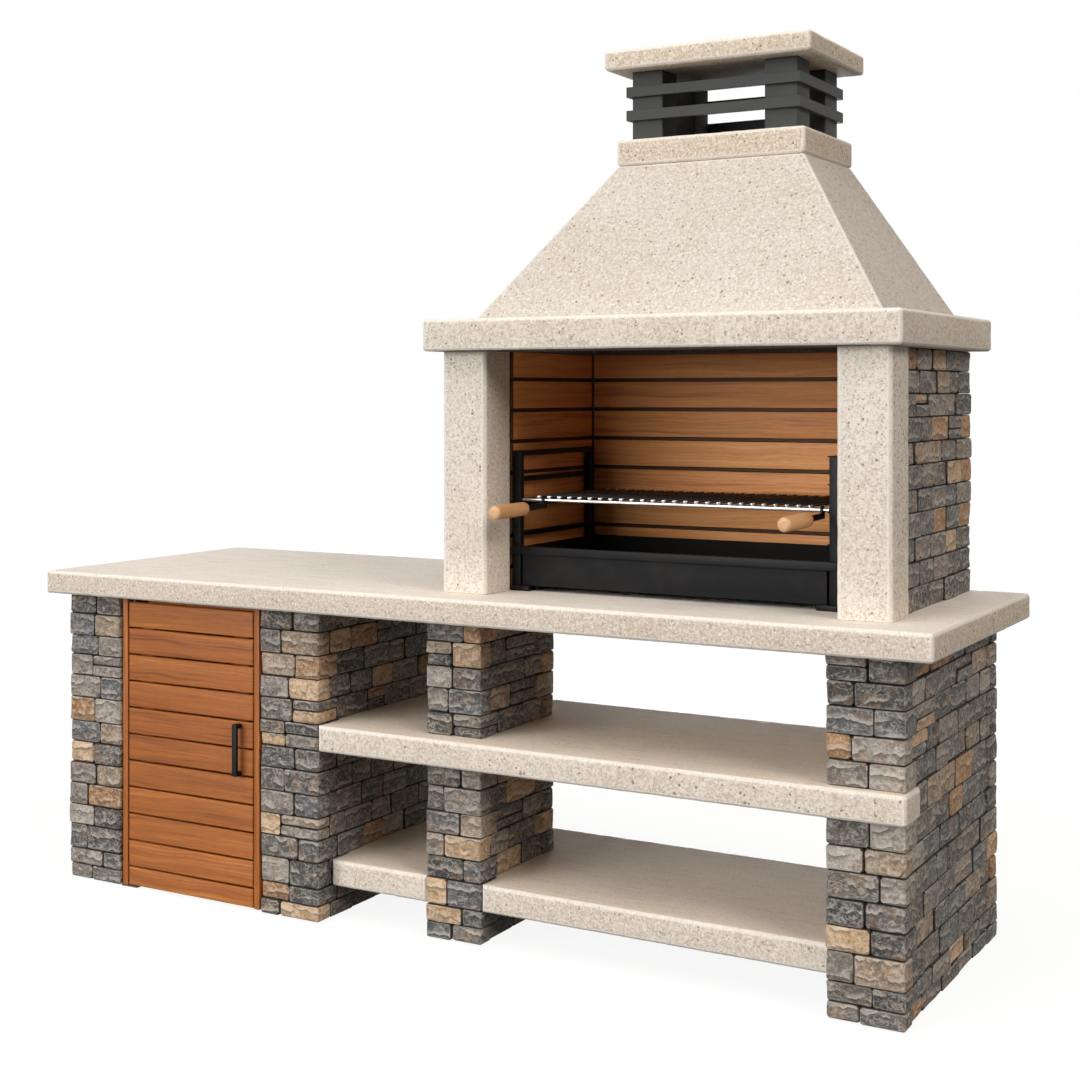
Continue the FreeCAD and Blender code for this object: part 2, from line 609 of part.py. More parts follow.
def make_firebox():
    """Columns, walls with outer stones, the lining boards and the lintel."""
    column = block(
        FIRE_LEFT - COLUMN_SIZE, FIRE_LEFT, COLUMN_FRONT, COLUMN_BACK, WORKTOP_TOP, LINTEL_UNDER
    )
    column = eased(column, COLUMN_EASE, lambda edge: abs(edge.Length - FIREBOX_HEIGHT) < 0.01)
    save("left_column", column)
    save("right_column", mirrored(column, FIRE_MIDDLE))

    wall_outer = FIRE_LEFT - COLUMN_SIZE + SIDE_WALL_INSET
    wall_inner = FIRE_LEFT - LINING_THICK
    wall = block(
        wall_outer + VENEER, wall_inner, COLUMN_BACK, FIRE_WALL_BACK, WORKTOP_TOP, LINTEL_UNDER
    )
    save("left_wall_core", wall)
    save("right_wall_core", mirrored(wall, FIRE_MIDDLE))
    rows = courses("walls", [WORKTOP_TOP, LINTEL_UNDER])
    plan = (wall_outer, COLUMN_BACK, wall_inner, FIRE_WALL_BACK)
    save("left_wall_stones", *clad("left_wall", plan, ("left",), rows))
    right_stones = clad("right_wall", plan, ("left",), rows)
    save("right_wall_stones", *(mirrored(shape, FIRE_MIDDLE) for shape in right_stones))
    save("back_wall", block(
        wall_inner, 2 * FIRE_MIDDLE - wall_inner, BACK_WALL_FACE, FIRE_WALL_BACK,
        WORKTOP_TOP, LINTEL_UNDER,
    ))

    boards = board_rows(WORKTOP_TOP, LINTEL_UNDER + LINING_TOP_CUT, LINING_PITCH, 0)
    boards[0] = (boards[0][0], LINTEL_UNDER)
    side_run = V(0, BACK_WALL_FACE - COLUMN_BACK, 0)
    side = [lining_board(V(wall_inner, COLUMN_BACK, 0), V(1, 0, 0), side_run, *row) for row in boards]
    save("left_lining", *side)
    save("right_lining", *(mirrored(board, FIRE_MIDDLE) for board in side))
    back_run = V(FIREBOX_OPENING, 0, 0)
    back = [lining_board(V(FIRE_LEFT, BACK_WALL_FACE, 0), V(0, -1, 0), back_run, *row) for row in boards]
    save("back_lining", *back)

    smoke_hole = (
        FIRE_LEFT + SMOKE_LEDGE, FIRE_RIGHT - SMOKE_LEDGE,
        COLUMN_BACK + SMOKE_LEDGE, LINING_FACE - SMOKE_LEDGE,
    )
    save("lintel_slab", frame_slab(
        LINTEL_LEFT, LINTEL_RIGHT, LINTEL_FRONT, LINTEL_BACK, LINTEL_UNDER, HOOD_UNDER, smoke_hole
    ))


def hood_form(inset):
    """The hood's tapering form, drawn in by an inset; its back stands upright."""
    base = HOOD_SIDE_INSET + inset
    top = COLLAR_LIP + inset
    form = Part.makeWedge(
        LINTEL_LEFT + base, HOOD_UNDER, inset - HOOD_BACK, inset - HOOD_BACK, COLLAR_LEFT + top,
        LINTEL_RIGHT - base, COLLAR_UNDER, -LINTEL_FRONT - HOOD_FRONT_INSET - inset,
        -COLLAR_FRONT - top, COLLAR_RIGHT - top,
    )
    form.Placement = FreeCAD.Placement(V(0, 0, 0), FreeCAD.Rotation(V(1, 0, 0), 90))
    return form


def band(low):
    """Four flat bars with mitred ends round the cowl's posts."""
    def ring(inset):
        x0, x1 = COLLAR_LEFT + inset, COLLAR_RIGHT - inset
        y0, y1 = COLLAR_FRONT + inset, COLLAR_BACK - inset
        return [V(x0, y0, low), V(x1, y0, low), V(x1, y1, low), V(x0, y1, low)]

    outer = ring(BAND_INSET)
    inner = ring(BAND_INSET + BAND_THICK)
    return [
        prism([outer[n], outer[(n + 1) % 4], inner[(n + 1) % 4], inner[n]], V(0, 0, BAND_HEIGHT))
        for n in range(4)
    ]


def make_chimney():
    """Hollow hood, collar, open cowl and cap."""
    save("hood", hood_form(0).cut(hood_form(HOOD_WALL)))

    margin = POST_INSET + POST_SIZE
    flue = (COLLAR_LEFT + margin, COLLAR_RIGHT - margin, COLLAR_FRONT + margin, COLLAR_BACK - margin)
    save("collar_slab", frame_slab(
        COLLAR_LEFT, COLLAR_RIGHT, COLLAR_FRONT, COLLAR_BACK, COLLAR_UNDER, COWL_UNDER, flue
    ))

    save("cowl_posts", *(
        block(x, x + POST_SIZE, y, y + POST_SIZE, COWL_UNDER, CAP_UNDER)
        for x in (COLLAR_LEFT + POST_INSET, COLLAR_RIGHT - POST_INSET - POST_SIZE)
        for y in (COLLAR_FRONT + POST_INSET, COLLAR_BACK - POST_INSET - POST_SIZE)
    ))
    save("lower_cowl_band", *band(COWL_UNDER + LOWER_BAND_RISE))
    save("upper_cowl_band", *band(COWL_UNDER + LOWER_BAND_RISE + BAND_SPACING))
    save("chimney_cap", eased(block(
        COLLAR_LEFT - CAP_OVERHANG, COLLAR_RIGHT + CAP_OVERHANG,
        COLLAR_FRONT - CAP_OVERHANG, COLLAR_BACK + CAP_OVERHANG, CAP_UNDER, CAP_UNDER + CAP_THICK,
    ), SLAB_EASE))


def make_fire_tray():
    """The sheet-steel charcoal tray, its front lip, the feet and the racks that carry the grill."""
    def tray_form(wall, top):
        left = RACK_INNER + TRAY_GAP + wall
        right = 2 * INSERT_MIDDLE - left
        return block(left, right, INSERT_FRONT + wall, INSERT_BACK - wall, TRAY_UNDER + wall, top)

    save("fire_tray", tray_form(0, TRAY_TOP).cut(tray_form(TRAY_SHEET, TRAY_TOP + TRAY_SHEET)))
    save("tray_front_lip", block(
        RACK_OUTER, RACK_OUTER + INSERT_WIDTH, INSERT_FRONT - LIP_THICK, INSERT_FRONT,
        TRAY_TOP - LIP_HEIGHT, TRAY_TOP,
    ))

    feet = [
        block(RACK_OUTER, RACK_OUTER + FOOT_LENGTH, y, y + FOOT_DEPTH, WORKTOP_TOP, TRAY_UNDER)
        for y in (INSERT_FRONT - LIP_THICK, INSERT_BACK - FOOT_DEPTH)
    ]
    save("rack_feet", *feet, *(mirrored(foot, INSERT_MIDDLE) for foot in feet))

    uprights = [
        block(RACK_OUTER, RACK_INNER, y, y + UPRIGHT_DEPTH, TRAY_UNDER, RAIL_TOPS[-1])
        for y in (INSERT_FRONT, INSERT_BACK - UPRIGHT_DEPTH)
    ]
    rails = [angle_rail(top) for top in RAIL_TOPS]
    save("left_rack_uprights", *uprights)
    save("left_rack_rails", *rails)
    save("right_rack_uprights", *(mirrored(post, INSERT_MIDDLE) for post in uprights))
    save("right_rack_rails", *(mirrored(rail, INSERT_MIDDLE) for rail in rails))


def angle_rail(top):
    """A left-hand angle rail between the uprights: an upright leg, and a ledge that carries the grill."""
    start = INSERT_FRONT + UPRIGHT_DEPTH
    length = INSERT_BACK - UPRIGHT_DEPTH - start
    section = [
        (RACK_INNER - RAIL_SHEET, top), (RACK_INNER + RAIL_LEDGE, top),
        (RACK_INNER + RAIL_LEDGE, top - RAIL_SHEET), (RACK_INNER, top - RAIL_SHEET),
        (RACK_INNER, top - RAIL_HEIGHT), (RACK_INNER - RAIL_SHEET, top - RAIL_HEIGHT),
    ]
    return prism([V(x, start, z) for x, z in section], V(0, length, 0))


def round_bar(diameter, start, end):
    """A straight round bar between two points on its axis."""
    way = end - start
    return Part.makeCylinder(diameter / 2, way.Length, start, way)


def grill_rod(x):
    """A drawn rod across the grill, modelled with flats so that it beds on the bars it is welded to."""
    step = 2 * math.pi / GRILL_ROD_SIDES
    corner = GRILL_ROD / 2 / math.cos(step / 2)
    height = GRILL_ROD_UNDER + GRILL_ROD / 2
    start = GRILL_FRONT - GRILL_ROD_OVERRUN
    ring = [
        V(x + corner * math.sin(step * (n + 0.5)), start, height + corner * math.cos(step * (n + 0.5)))
        for n in range(GRILL_ROD_SIDES)
    ]
    return prism(ring, V(0, GRILL_BACK + GRILL_ROD_OVERRUN - start, 0))


def handle_strap(x, way, up):
    """A flat strap on edge, hooked round the grill's front bar and let into its grip."""
    bar = V(x - STRAP_THICK / 2, GRILL_FRONT, GRILL_AXIS)
    rim = GRILL_BAR / 2 + HOOK_RIM
    top = STRAP_HEIGHT / 2 - STRAP_DROP
    low = -STRAP_HEIGHT / 2 - STRAP_DROP
    tip = STRAP_REACH + STRAP_TANG
    outline = [
        (-rim, low), (-rim, rim - HOOK_EASE), (HOOK_EASE - rim, rim), (rim - HOOK_EASE, rim),
        (rim, rim - HOOK_EASE), (rim, top), (tip, top), (tip, low),
    ]
    strap = prism([bar + way * along + up * rise for along, rise in outline], V(STRAP_THICK, 0, 0))
    return strap.cut(round_bar(GRILL_BAR, bar, bar + V(STRAP_THICK, 0, 0)))


def grip(start, way):
    """A turned wooden grip whose free end is eased."""
    radius = GRIP_DIAMETER / 2
    outline = [
        V(0, 0, 0), V(radius, 0, 0), V(radius, 0, GRIP_LENGTH - GRIP_EASE),
        V(radius - GRIP_EASE, 0, GRIP_LENGTH), V(0, 0, GRIP_LENGTH),
    ]
    body = Part.Face(Part.makePolygon(outline + outline[:1])).revolve(V(0, 0, 0), V(0, 0, 1), 360)
    body.Placement = FreeCAD.Placement(start, FreeCAD.Rotation(V(0, 0, 1), way))
    return body


def make_grill():
    """The sliding chrome grill and its two wooden-gripped handles."""
    radius = GRILL_BAR / 2
    bars = [
        round_bar(GRILL_BAR, V(GRILL_LEFT, y, GRILL_AXIS), V(GRILL_RIGHT, y, GRILL_AXIS))
        for y in (GRILL_FRONT, GRILL_BACK)
    ]
    bars += [
        round_bar(GRILL_BAR, V(x, GRILL_FRONT + radius, GRILL_AXIS), V(x, GRILL_BACK - radius, GRILL_AXIS))
        for x in (GRILL_LEFT + radius, GRILL_RIGHT - radius)
    ]
    end = RACK_INNER + RAIL_LEDGE + GRILL_SIDE_GAP
    middle = (GRILL_FRONT + GRILL_BACK) / 2
    under = GRILL_ROD_UNDER - GRILL_CROSS_BAR / 2
    bars.append(round_bar(
        GRILL_CROSS_BAR, V(end, middle, under), V(2 * INSERT_MIDDLE - end, middle, under)
    ))
    save("grill_frame", *bars)

    spaces = int((GRILL_RIGHT - GRILL_LEFT - 2 * GRILL_ROD_MARGIN) / GRILL_ROD_PITCH)
    first = INSERT_MIDDLE - GRILL_ROD_PITCH * spaces / 2
    save("grill_rods", *(grill_rod(first + GRILL_ROD_PITCH * n) for n in range(spaces + 1)))

    droop = math.radians(STRAP_DROOP_DEG)
    way = V(0, -math.cos(droop), -math.sin(droop))
    up = V(0, -math.sin(droop), math.cos(droop))
    straps = []
    for side, steps in (("left", 0.5), ("right", spaces + 1)):
        x = first + GRILL_ROD_PITCH * steps
        strap = handle_strap(x, way, up)
        straps.append(strap)
        grip_start = V(x, GRILL_FRONT, GRILL_AXIS) + way * STRAP_REACH - up * STRAP_DROP
        save(f"{side}_grip", grip(grip_start, way).cut(strap))
    save("grill_handle_straps", *straps)


os.makedirs("parts", exist_ok=True)
make_bench()
make_cupboard()
make_door()
make_firebox()
make_chimney()
make_fire_tray()
make_grill()
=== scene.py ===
# %% [markdown]
# # A masonry barbecue, dressed for the camera
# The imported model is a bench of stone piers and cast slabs, a lined firebox and a tapering hood.
# Its solids already have the right sizes, so this lesson only gives each of them a surface:
# rough split stone, washed concrete with worn arrises, oiled planks, black steel and plated bars.

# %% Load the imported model
import json
import math
import random

import bmesh
import bpy
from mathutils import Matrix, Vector, noise


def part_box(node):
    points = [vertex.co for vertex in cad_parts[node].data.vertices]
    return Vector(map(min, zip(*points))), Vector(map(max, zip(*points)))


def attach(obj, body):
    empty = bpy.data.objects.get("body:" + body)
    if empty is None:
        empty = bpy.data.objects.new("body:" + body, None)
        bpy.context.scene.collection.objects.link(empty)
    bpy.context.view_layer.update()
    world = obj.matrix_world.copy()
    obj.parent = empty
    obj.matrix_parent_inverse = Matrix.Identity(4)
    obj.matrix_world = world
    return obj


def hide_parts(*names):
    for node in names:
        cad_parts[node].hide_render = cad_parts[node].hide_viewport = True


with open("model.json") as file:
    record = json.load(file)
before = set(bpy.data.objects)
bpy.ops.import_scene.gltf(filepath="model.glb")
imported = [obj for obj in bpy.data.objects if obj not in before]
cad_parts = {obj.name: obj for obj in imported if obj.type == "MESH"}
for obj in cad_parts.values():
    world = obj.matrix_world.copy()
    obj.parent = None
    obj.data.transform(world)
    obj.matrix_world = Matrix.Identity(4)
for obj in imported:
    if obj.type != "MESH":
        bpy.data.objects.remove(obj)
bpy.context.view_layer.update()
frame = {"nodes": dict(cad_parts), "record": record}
scene = bpy.context.scene
scene.view_settings.view_transform = "Standard"

# %% [markdown]
# ## Camera
# The photograph was taken at standing height, a little to the right of the barbecue, with upright
# edges that stay upright. A level camera with a vertical shift draws just that, whereas a camera
# that tilts would make the columns lean together.

# %% Level camera with a shift
camera = bpy.data.objects.new("camera", bpy.data.cameras.new("camera"))
scene.collection.objects.link(camera)
camera.location = (2.378, -3.998, 1.4192)
camera.rotation_euler = (math.radians(90), 0, math.radians(29.67))
camera.data.lens = 56.147
camera.data.shift_y = -0.1362
scene.camera = camera
print("camera at", tuple(round(c, 2) for c in camera.location))

# %% [markdown]
# ## Sums on sockets
# A finish is mostly arithmetic: so much of this noise, less of that one. Nodes can be added by hand
# for each sum, but the rule is then lost among the links. Here a socket is wrapped in a small class,
# so that a Python sum adds the Math or Vector Math node that does it.

# %% A socket that takes part in sums
class Wire:
    def __init__(self, graph, socket):
        self.graph = graph
        self.socket = socket

    def sum(self, operation, left, right):
        ends = [end for end in (left, right) if isinstance(end, Wire)]
        if any(end.socket.type in ("VECTOR", "RGBA") for end in ends):
            pair = [end if isinstance(end, (Wire, tuple)) else (end,) * 3 for end in (left, right)]
            return self.graph.vector_math(operation, *pair)
        return self.graph.math(operation, left, right)

    def __add__(self, other):
        return self.sum("ADD", self, other)

    def __radd__(self, other):
        return self.sum("ADD", other, self)

    def __sub__(self, other):
        return self.sum("SUBTRACT", self, other)

    def __rsub__(self, other):
        return self.sum("SUBTRACT", other, self)

    def __mul__(self, other):
        return self.sum("MULTIPLY", self, other)

    def __rmul__(self, other):
        return self.sum("MULTIPLY", other, self)

    def __truediv__(self, other):
        return self.sum("DIVIDE", self, other)

    def __abs__(self):
        return self.graph.math("ABSOLUTE", self)

    def rise(self, low, high):
        """0 below low, 1 above high and smooth between; low may be the larger."""
        ends = {"Value": self, "From Min": low, "From Max": high}
        return self.graph.node("ShaderNodeMapRange", {"interpolation_type": "SMOOTHSTEP"}, ends)["Result"]

    def xyz(self):
        parts = self.graph.node("ShaderNodeSeparateXYZ", {}, {0: self})
        return parts[0], parts[1], parts[2]


print("sums on sockets ready")

# %% One way to add any other node
def pick(sockets, key):
    if isinstance(key, int):
        return sockets[key]
    return next(s for s in sockets if s.name == key and s.enabled)


class Made:
    def __init__(self, graph, node):
        self.graph = graph
        self.node = node

    def __getitem__(self, key):
        return Wire(self.graph, pick(self.node.outputs, key))


class Graph:
    def __init__(self, tree):
        self.tree = tree

    def node(self, kind, settings=None, sockets=None):
        made = self.tree.nodes.new(kind)
        for name, value in (settings or {}).items():
            setattr(made, name, value)
        for key, value in (sockets or {}).items():
            socket = pick(made.inputs, key)
            if isinstance(value, Wire):
                self.tree.links.new(value.socket, socket)
            else:
                socket.default_value = value
        return Made(self, made)

    def math(self, operation, *values):
        return self.node("ShaderNodeMath", {"operation": operation}, dict(enumerate(values)))[0]

    def vector_math(self, operation, *values):
        return self.node("ShaderNodeVectorMath", {"operation": operation}, dict(enumerate(values)))[0]

    def vector(self, x, y, z):
        return self.node("ShaderNodeCombineXYZ", {}, {0: x, 1: y, 2: z})[0]

    def noise(self, place, scale, detail=2.0, rough=0.5, twist=0.0):
        ends = {"Vector": place, "Scale": scale, "Detail": detail, "Roughness": rough, "Distortion": twist}
        return self.node("ShaderNodeTexNoise", {}, ends)[0]

    def blend(self, share, first, second):
        ends = {"Factor": share, "A": first, "B": second}
        return self.node("ShaderNodeMix", {"data_type": "RGBA"}, ends)["Result"]

    def bump(self, height, depth, strength):
        ends = {"Height": height, "Distance": depth, "Strength": strength}
        return self.node("ShaderNodeBump", {}, ends)["Normal"]

    def place(self):
        return self.node("ShaderNodeTexCoord")["Object"]

    def normal(self):
        return self.node("ShaderNodeTexCoord")["Normal"]

    def attribute(self, name, output="Fac"):
        return self.node("ShaderNodeAttribute", {"attribute_name": name})[output]


def paint(red, green, blue):
    """A colour as a paint chart gives it, 0 to 255, as the linear value that Blender works in."""
    def linear(c):
        c /= 255
        return c / 12.92 if c <= 0.04045 else ((c + 0.055) / 1.055) ** 2.4
    return (linear(red), linear(green), linear(blue), 1.0)


def finish(name, surface):
    """A material whose Principled sockets are what surface(graph) returns."""
    material = bpy.data.materials.new(name)
    material.use_nodes = True
    material.node_tree.nodes.clear()
    graph = Graph(material.node_tree)
    shader = graph.node("ShaderNodeBsdfPrincipled", {}, surface(graph))
    graph.node("ShaderNodeOutputMaterial", {}, {"Surface": shader["BSDF"]})
    print("finish", name, "with", len(material.node_tree.nodes), "nodes")
    return material


print("nodes, colours and finishes ready")

# %% [markdown]
# ## Light and floor
# The object stands in a white studio: a broad soft light from the front and left, one from above, a
# weaker warm one from the right that is too high to reach under the worktop, a level one for the
# back, and a low light from all round. A front face shows its colour about as written. The white
# behind is what the camera and the metal see of the world, not more light.

# %% Soft lights
def soft_light(name, towards, level, spread, colour=(1.0, 1.0, 1.0)):
    lamp = bpy.data.lights.new(name, "SUN")
    lamp.energy = level * math.pi
    lamp.color = colour
    lamp.angle = math.radians(spread)
    light = bpy.data.objects.new(name, lamp)
    light.rotation_euler = Vector(towards).to_track_quat("Z", "Y").to_euler()
    scene.collection.objects.link(light)


WARM = (1.0, 0.93, 0.86)
soft_light("key_light", (-0.42, -0.88, 0.17), 0.88, 45)
soft_light("top_light", (-0.10, -0.30, 0.95), 0.41, 60)
soft_light("side_light", (0.80, -0.30, 0.55), 0.43, 30, WARM)
soft_light("back_light", (-0.35, 0.93, 0.0), 0.52, 6)
print("four lights")

# %% White surroundings and floor
def seen_directly(graph):
    """1 for what the camera, a reflection or clear glass shows, 0 for light that falls on the object."""
    path = graph.node("ShaderNodeLightPath")
    rays = path["Is Camera Ray"] + path["Is Glossy Ray"] + path["Is Transmission Ray"]
    return graph.math("MINIMUM", rays, 1.0)


AMBIENT = 0.10
WHITE = (1, 1, 1, 1)
FLOOR_GLOW = 0.9
FLOOR_COVER = (0.15, 0.147, 0.144, 1)
world = bpy.data.worlds.new("studio")
scene.world = world
world.use_nodes = True
world.node_tree.nodes.clear()
graph = Graph(world.node_tree)
dim = graph.node("ShaderNodeBackground", {}, {"Color": (*WARM, 1), "Strength": AMBIENT})["Background"]
white = graph.node("ShaderNodeBackground", {}, {"Color": WHITE, "Strength": 1.0})["Background"]
both = graph.node("ShaderNodeMixShader", {}, {0: seen_directly(graph), 1: dim, 2: white})
graph.node("ShaderNodeOutputWorld", {}, {"Surface": both["Shader"]})

floor_finish = bpy.data.materials.new("studio_floor")
floor_finish.use_nodes = True
floor_finish.node_tree.nodes.clear()
graph = Graph(floor_finish.node_tree)
cover = graph.node("ShaderNodeBsdfDiffuse", {}, {"Color": FLOOR_COVER})["BSDF"]
glow = graph.node("ShaderNodeEmission", {}, {"Color": WHITE, "Strength": seen_directly(graph) * FLOOR_GLOW})
both = graph.node("ShaderNodeAddShader", {}, {0: cover, 1: glow["Emission"]})
graph.node("ShaderNodeOutputMaterial", {}, {"Surface": both["Shader"]})

FLOOR_REACH = 40.0
FLOOR_DROP = 0.001
floor_mesh = bpy.data.meshes.new("studio_floor")
corners = [(x * FLOOR_REACH, y * FLOOR_REACH, -FLOOR_DROP) for x, y in ((-1, -1), (1, -1), (1, 1), (-1, 1))]
floor_mesh.from_pydata(corners, [], [(0, 1, 2, 3)])
floor_mesh.materials.append(floor_finish)
floor = bpy.data.objects.new("studio_floor", floor_mesh)
scene.collection.objects.link(floor)
print("floor and surroundings white")

# %% [markdown]
# ## Washed concrete
# The slabs, columns and hood are cast in cream cement, and the skin is washed off so that the sand
# and chips show: short curved strokes of grit, brown flecks, pale grains. An image could be tiled
# over them, but it would repeat. Bent noise cut at one level gives the strokes, and Voronoi cells
# of which only some are filled give the flecks. Trowelled tops are smoother and paler. The lintel's
# smoke hole and the undersides of the lintel and the cap are made nearly black: soot, and painted
# shade where little light reaches.

# %% Soot and painted shade
# Near-black for soot, and painted shade, on undersides and inward faces round the fire and the flue.
SOOT_AND_SHADE = paint(20, 16, 13)
SOOT_AND_SHADE_SHARE = 0.85


def facing_soot_and_shade(graph, middle):
    """1 on what faces the middle of the smoke, seen from above: soot there, and painted shade."""
    x, y, _ = (graph.normal() * ((*middle, 0.0) - graph.place())).xyz()
    return (x + y).rise(0.0, 0.02)


def sooted_and_shaded(graph, smoke):
    """1 in a smoke hole and on an underside in the smoke, fading out round it: soot and painted shade.

    Smoke is (middle, half size, width of the fade), seen from above.
    """
    middle, half, fade = smoke
    x, y, _ = (graph.vector_math("ABSOLUTE", graph.place() - (*middle, 0.0)) - (*half, 0.0)).xyz()
    under = graph.normal().xyz()[2].rise(-0.7, -0.95)
    return graph.math("MAXIMUM", x, y).rise(fade, 0.0) * under + facing_soot_and_shade(graph, middle)


print("soot ready")

# %% Washed concrete
CEMENT = paint(226, 214, 199)
TAN_CEMENT = paint(216, 199, 177)
GRIT = paint(172, 150, 126)
PALE = paint(246, 240, 230)
FLECK = paint(118, 92, 66)
TROWELLED = paint(247, 238, 227)
STROKE_SCALE = 92.0
SHINE_SCALE = 100.0
PATCH_SCALE = 130.0
FLECK_SCALE = 90.0
GRAIN_SCALE = 420.0
CLOUD_SCALE = 3.2
BRUSH_SCALE = 7.0
PITTING = 0.0012


def washed_concrete(name, cement, pale=PALE, trowelled=TROWELLED, smoke=None):
    def surface(graph):
        place = graph.place()
        up = graph.normal().xyz()[2].rise(0.7, 0.95)
        rough_face = 1 - 0.65 * up
        bent = graph.noise(place, STROKE_SCALE, 1.0, 0.5, 1.5)
        patch = graph.noise(place + (3.1, 0.7, 5.3), PATCH_SCALE, 1.0)
        stroke = abs(bent - 0.5).rise(0.07, 0.02) * patch.rise(0.44, 0.52)
        bright = graph.noise(place + (7.7, 2.2, 1.9), SHINE_SCALE, 1.0, 0.5, 1.4)
        shine = abs(bright - 0.5).rise(0.08, 0.02) * patch.rise(0.54, 0.46)
        stir = graph.node("ShaderNodeTexNoise", {}, {"Vector": place, "Scale": PATCH_SCALE, "Detail": 1.0})
        stirred = graph.node("ShaderNodeMix", {"data_type": "RGBA", "blend_type": "LINEAR_LIGHT"},
                             {"Factor": 0.0035, "A": place, "B": stir["Color"]})["Result"]
        cells = graph.node("ShaderNodeTexVoronoi", {}, {"Vector": stirred, "Scale": FLECK_SCALE})
        fill, size, _ = cells["Color"].xyz()
        spot = (cells["Distance"] - (0.12 + size * 0.2)).rise(0.06, -0.02) * fill.rise(0.78, 0.82)
        grain = graph.noise(place, GRAIN_SCALE, 2.0, 0.6)
        cloud = graph.noise(place, CLOUD_SCALE, 3.0)
        brushed = graph.noise(place * (1.0, 9.0, 1.0), BRUSH_SCALE, 4.0, 0.6)
        edge = (graph.attribute("edge") + (grain - 0.5) * 0.9).rise(0.35, 1.05)
        colour = graph.blend(cloud.rise(0.35, 0.7) * 0.2, cement, GRIT)
        colour = graph.blend((grain - 0.35).rise(0.0, 0.4) * 0.25, colour, pale)
        colour = graph.blend(up * 0.85, colour, trowelled)
        colour = graph.blend(up * brushed.rise(0.45, 0.75) * 0.22, colour, GRIT)
        colour = graph.blend(stroke * rough_face * 0.6, colour, GRIT)
        colour = graph.blend(shine * rough_face * 0.7, colour, pale)
        colour = graph.blend(spot * rough_face * 0.7, colour, FLECK)
        colour = graph.blend(edge * 0.6, colour, pale)
        # Soot, and painted shade, on the undersides and inward faces near the smoke.
        if smoke:
            colour = graph.blend(sooted_and_shaded(graph, smoke) * SOOT_AND_SHADE_SHARE, colour, SOOT_AND_SHADE)
        height = grain * 0.35 + shine * 0.4 - stroke * 0.5 - spot * 0.9
        return {
            "Base Color": colour,
            "Roughness": 0.72 + 0.16 * rough_face + (grain - 0.5) * 0.1,
            "Specular IOR Level": 0.3,
            "Normal": graph.bump(height, PITTING, 0.5),
        }
    return finish(name, surface)


# %% Concrete of each slab
def middle_above(node):
    """The middle of a node and half its size, both seen from above, as (x, y)."""
    low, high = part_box(node)
    return ((low.x + high.x) / 2, (low.y + high.y) / 2), ((high.x - low.x) / 2, (high.y - low.y) / 2)


SMOKE_SPREAD = (0.05, 0.15)
FIRE_FADE = 0.25
FLUE_HALF = (0.1, 0.05)
FLUE_FADE = 0.17
fire_middle, fire_half = middle_above("fire_tray")
over_fire = tuple(half + spread for half, spread in zip(fire_half, SMOKE_SPREAD))
cowl_middle = middle_above("collar_slab")[0]
# Where soot and painted shade darken the lintel and the cap.
fire_soot_and_shade = (fire_middle, over_fire, FIRE_FADE)
flue_soot_and_shade = (cowl_middle, FLUE_HALF, FLUE_FADE)
# The shelves' tops get a darker trowelled colour than the worktop's: painted shade from the worktop above.
concrete = washed_concrete("washed_concrete", CEMENT, trowelled=paint(238, 222, 203))
lintel_concrete = washed_concrete("washed_concrete_sooty_shaded", CEMENT, smoke=fire_soot_and_shade)
cap_concrete = washed_concrete("washed_concrete_tan_sooty_shaded", TAN_CEMENT, smoke=flue_soot_and_shade)
worktop_concrete = washed_concrete("washed_concrete_worktop", paint(217, 202, 186))
collar_concrete = washed_concrete("washed_concrete_tan", TAN_CEMENT)
column_concrete = washed_concrete("washed_concrete_light", paint(232, 222, 210))
hood_concrete = washed_concrete("washed_concrete_pale", paint(206, 199, 188), paint(230, 224, 215))

# %% [markdown]
# ## Slabs with worn arrises
# A cast slab has no sharp edge: the arris is rounded by the mould and loses a crumb here and there.
# A Bevel modifier would round it evenly. Here the copied solid's arrises are rounded, cut into short
# lengths and pressed in by noise, while the broad flat faces stay single faces.

# %% Copy of a CAD node as a clean mesh
MERGE_GAP = 1e-5
FLAT_ANGLE = 0.01


def joined_copy(node):
    """The node's own loose triangles, joined at their corners."""
    form = bmesh.new()
    form.from_mesh(frame["nodes"][node].data)
    bmesh.ops.remove_doubles(form, verts=form.verts, dist=MERGE_GAP)
    return form


def merged_copy(node):
    """A joined copy whose flat neighbours are one face."""
    form = joined_copy(node)
    bmesh.ops.dissolve_limit(form, angle_limit=FLAT_ANGLE, verts=form.verts, edges=form.edges)
    return form


def mesh_from(form, name):
    mesh = bpy.data.meshes.new(name)
    form.to_mesh(mesh)
    form.free()
    return mesh


def piece_of_mesh(mesh, name, material, body, nodes):
    """A finished piece in place, riding on a body and standing for its CAD nodes."""
    mesh.materials.clear()
    mesh.materials.append(material)
    mesh.name = name
    piece = bpy.data.objects.new(name, mesh)
    scene.collection.objects.link(piece)
    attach(piece, body)
    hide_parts(*nodes)


print("clean copies ready")

# %% Arrises cut into short lengths
def lengths_of(form, step):
    """Edges in families that face each other across four-sided faces, with the cuts each family needs."""
    family = {edge: edge for edge in form.edges}

    def head(edge):
        while family[edge] is not edge:
            edge = family[edge]
        return edge

    for face in form.faces:
        if len(face.edges) == 4:
            for k in (0, 1):
                first, second = head(face.edges[k]), head(face.edges[k + 2])
                family[first] = second
    groups = {}
    for edge in form.edges:
        groups.setdefault(head(edge), []).append(edge)
    return [(group, round(max(e.calc_length() for e in group) / step) - 1) for group in groups.values()]


print("arrises ready")

# %% Wear on a slab
ARRIS_STEP = 0.013
ARRIS_MARGIN = 0.005
ARRIS_WEAR = 0.0014
BROAD = 0.011
SHARP_ANGLE = 0.3
RIPPLE_SCALE = 60
CRUMB_SCALE = 150
CHIP_SCALE = 23
CHIP_SHIFT = Vector((9, 4, 2))
CHIP_LEVEL = 0.42
CHIP_DEPTH = 3.0


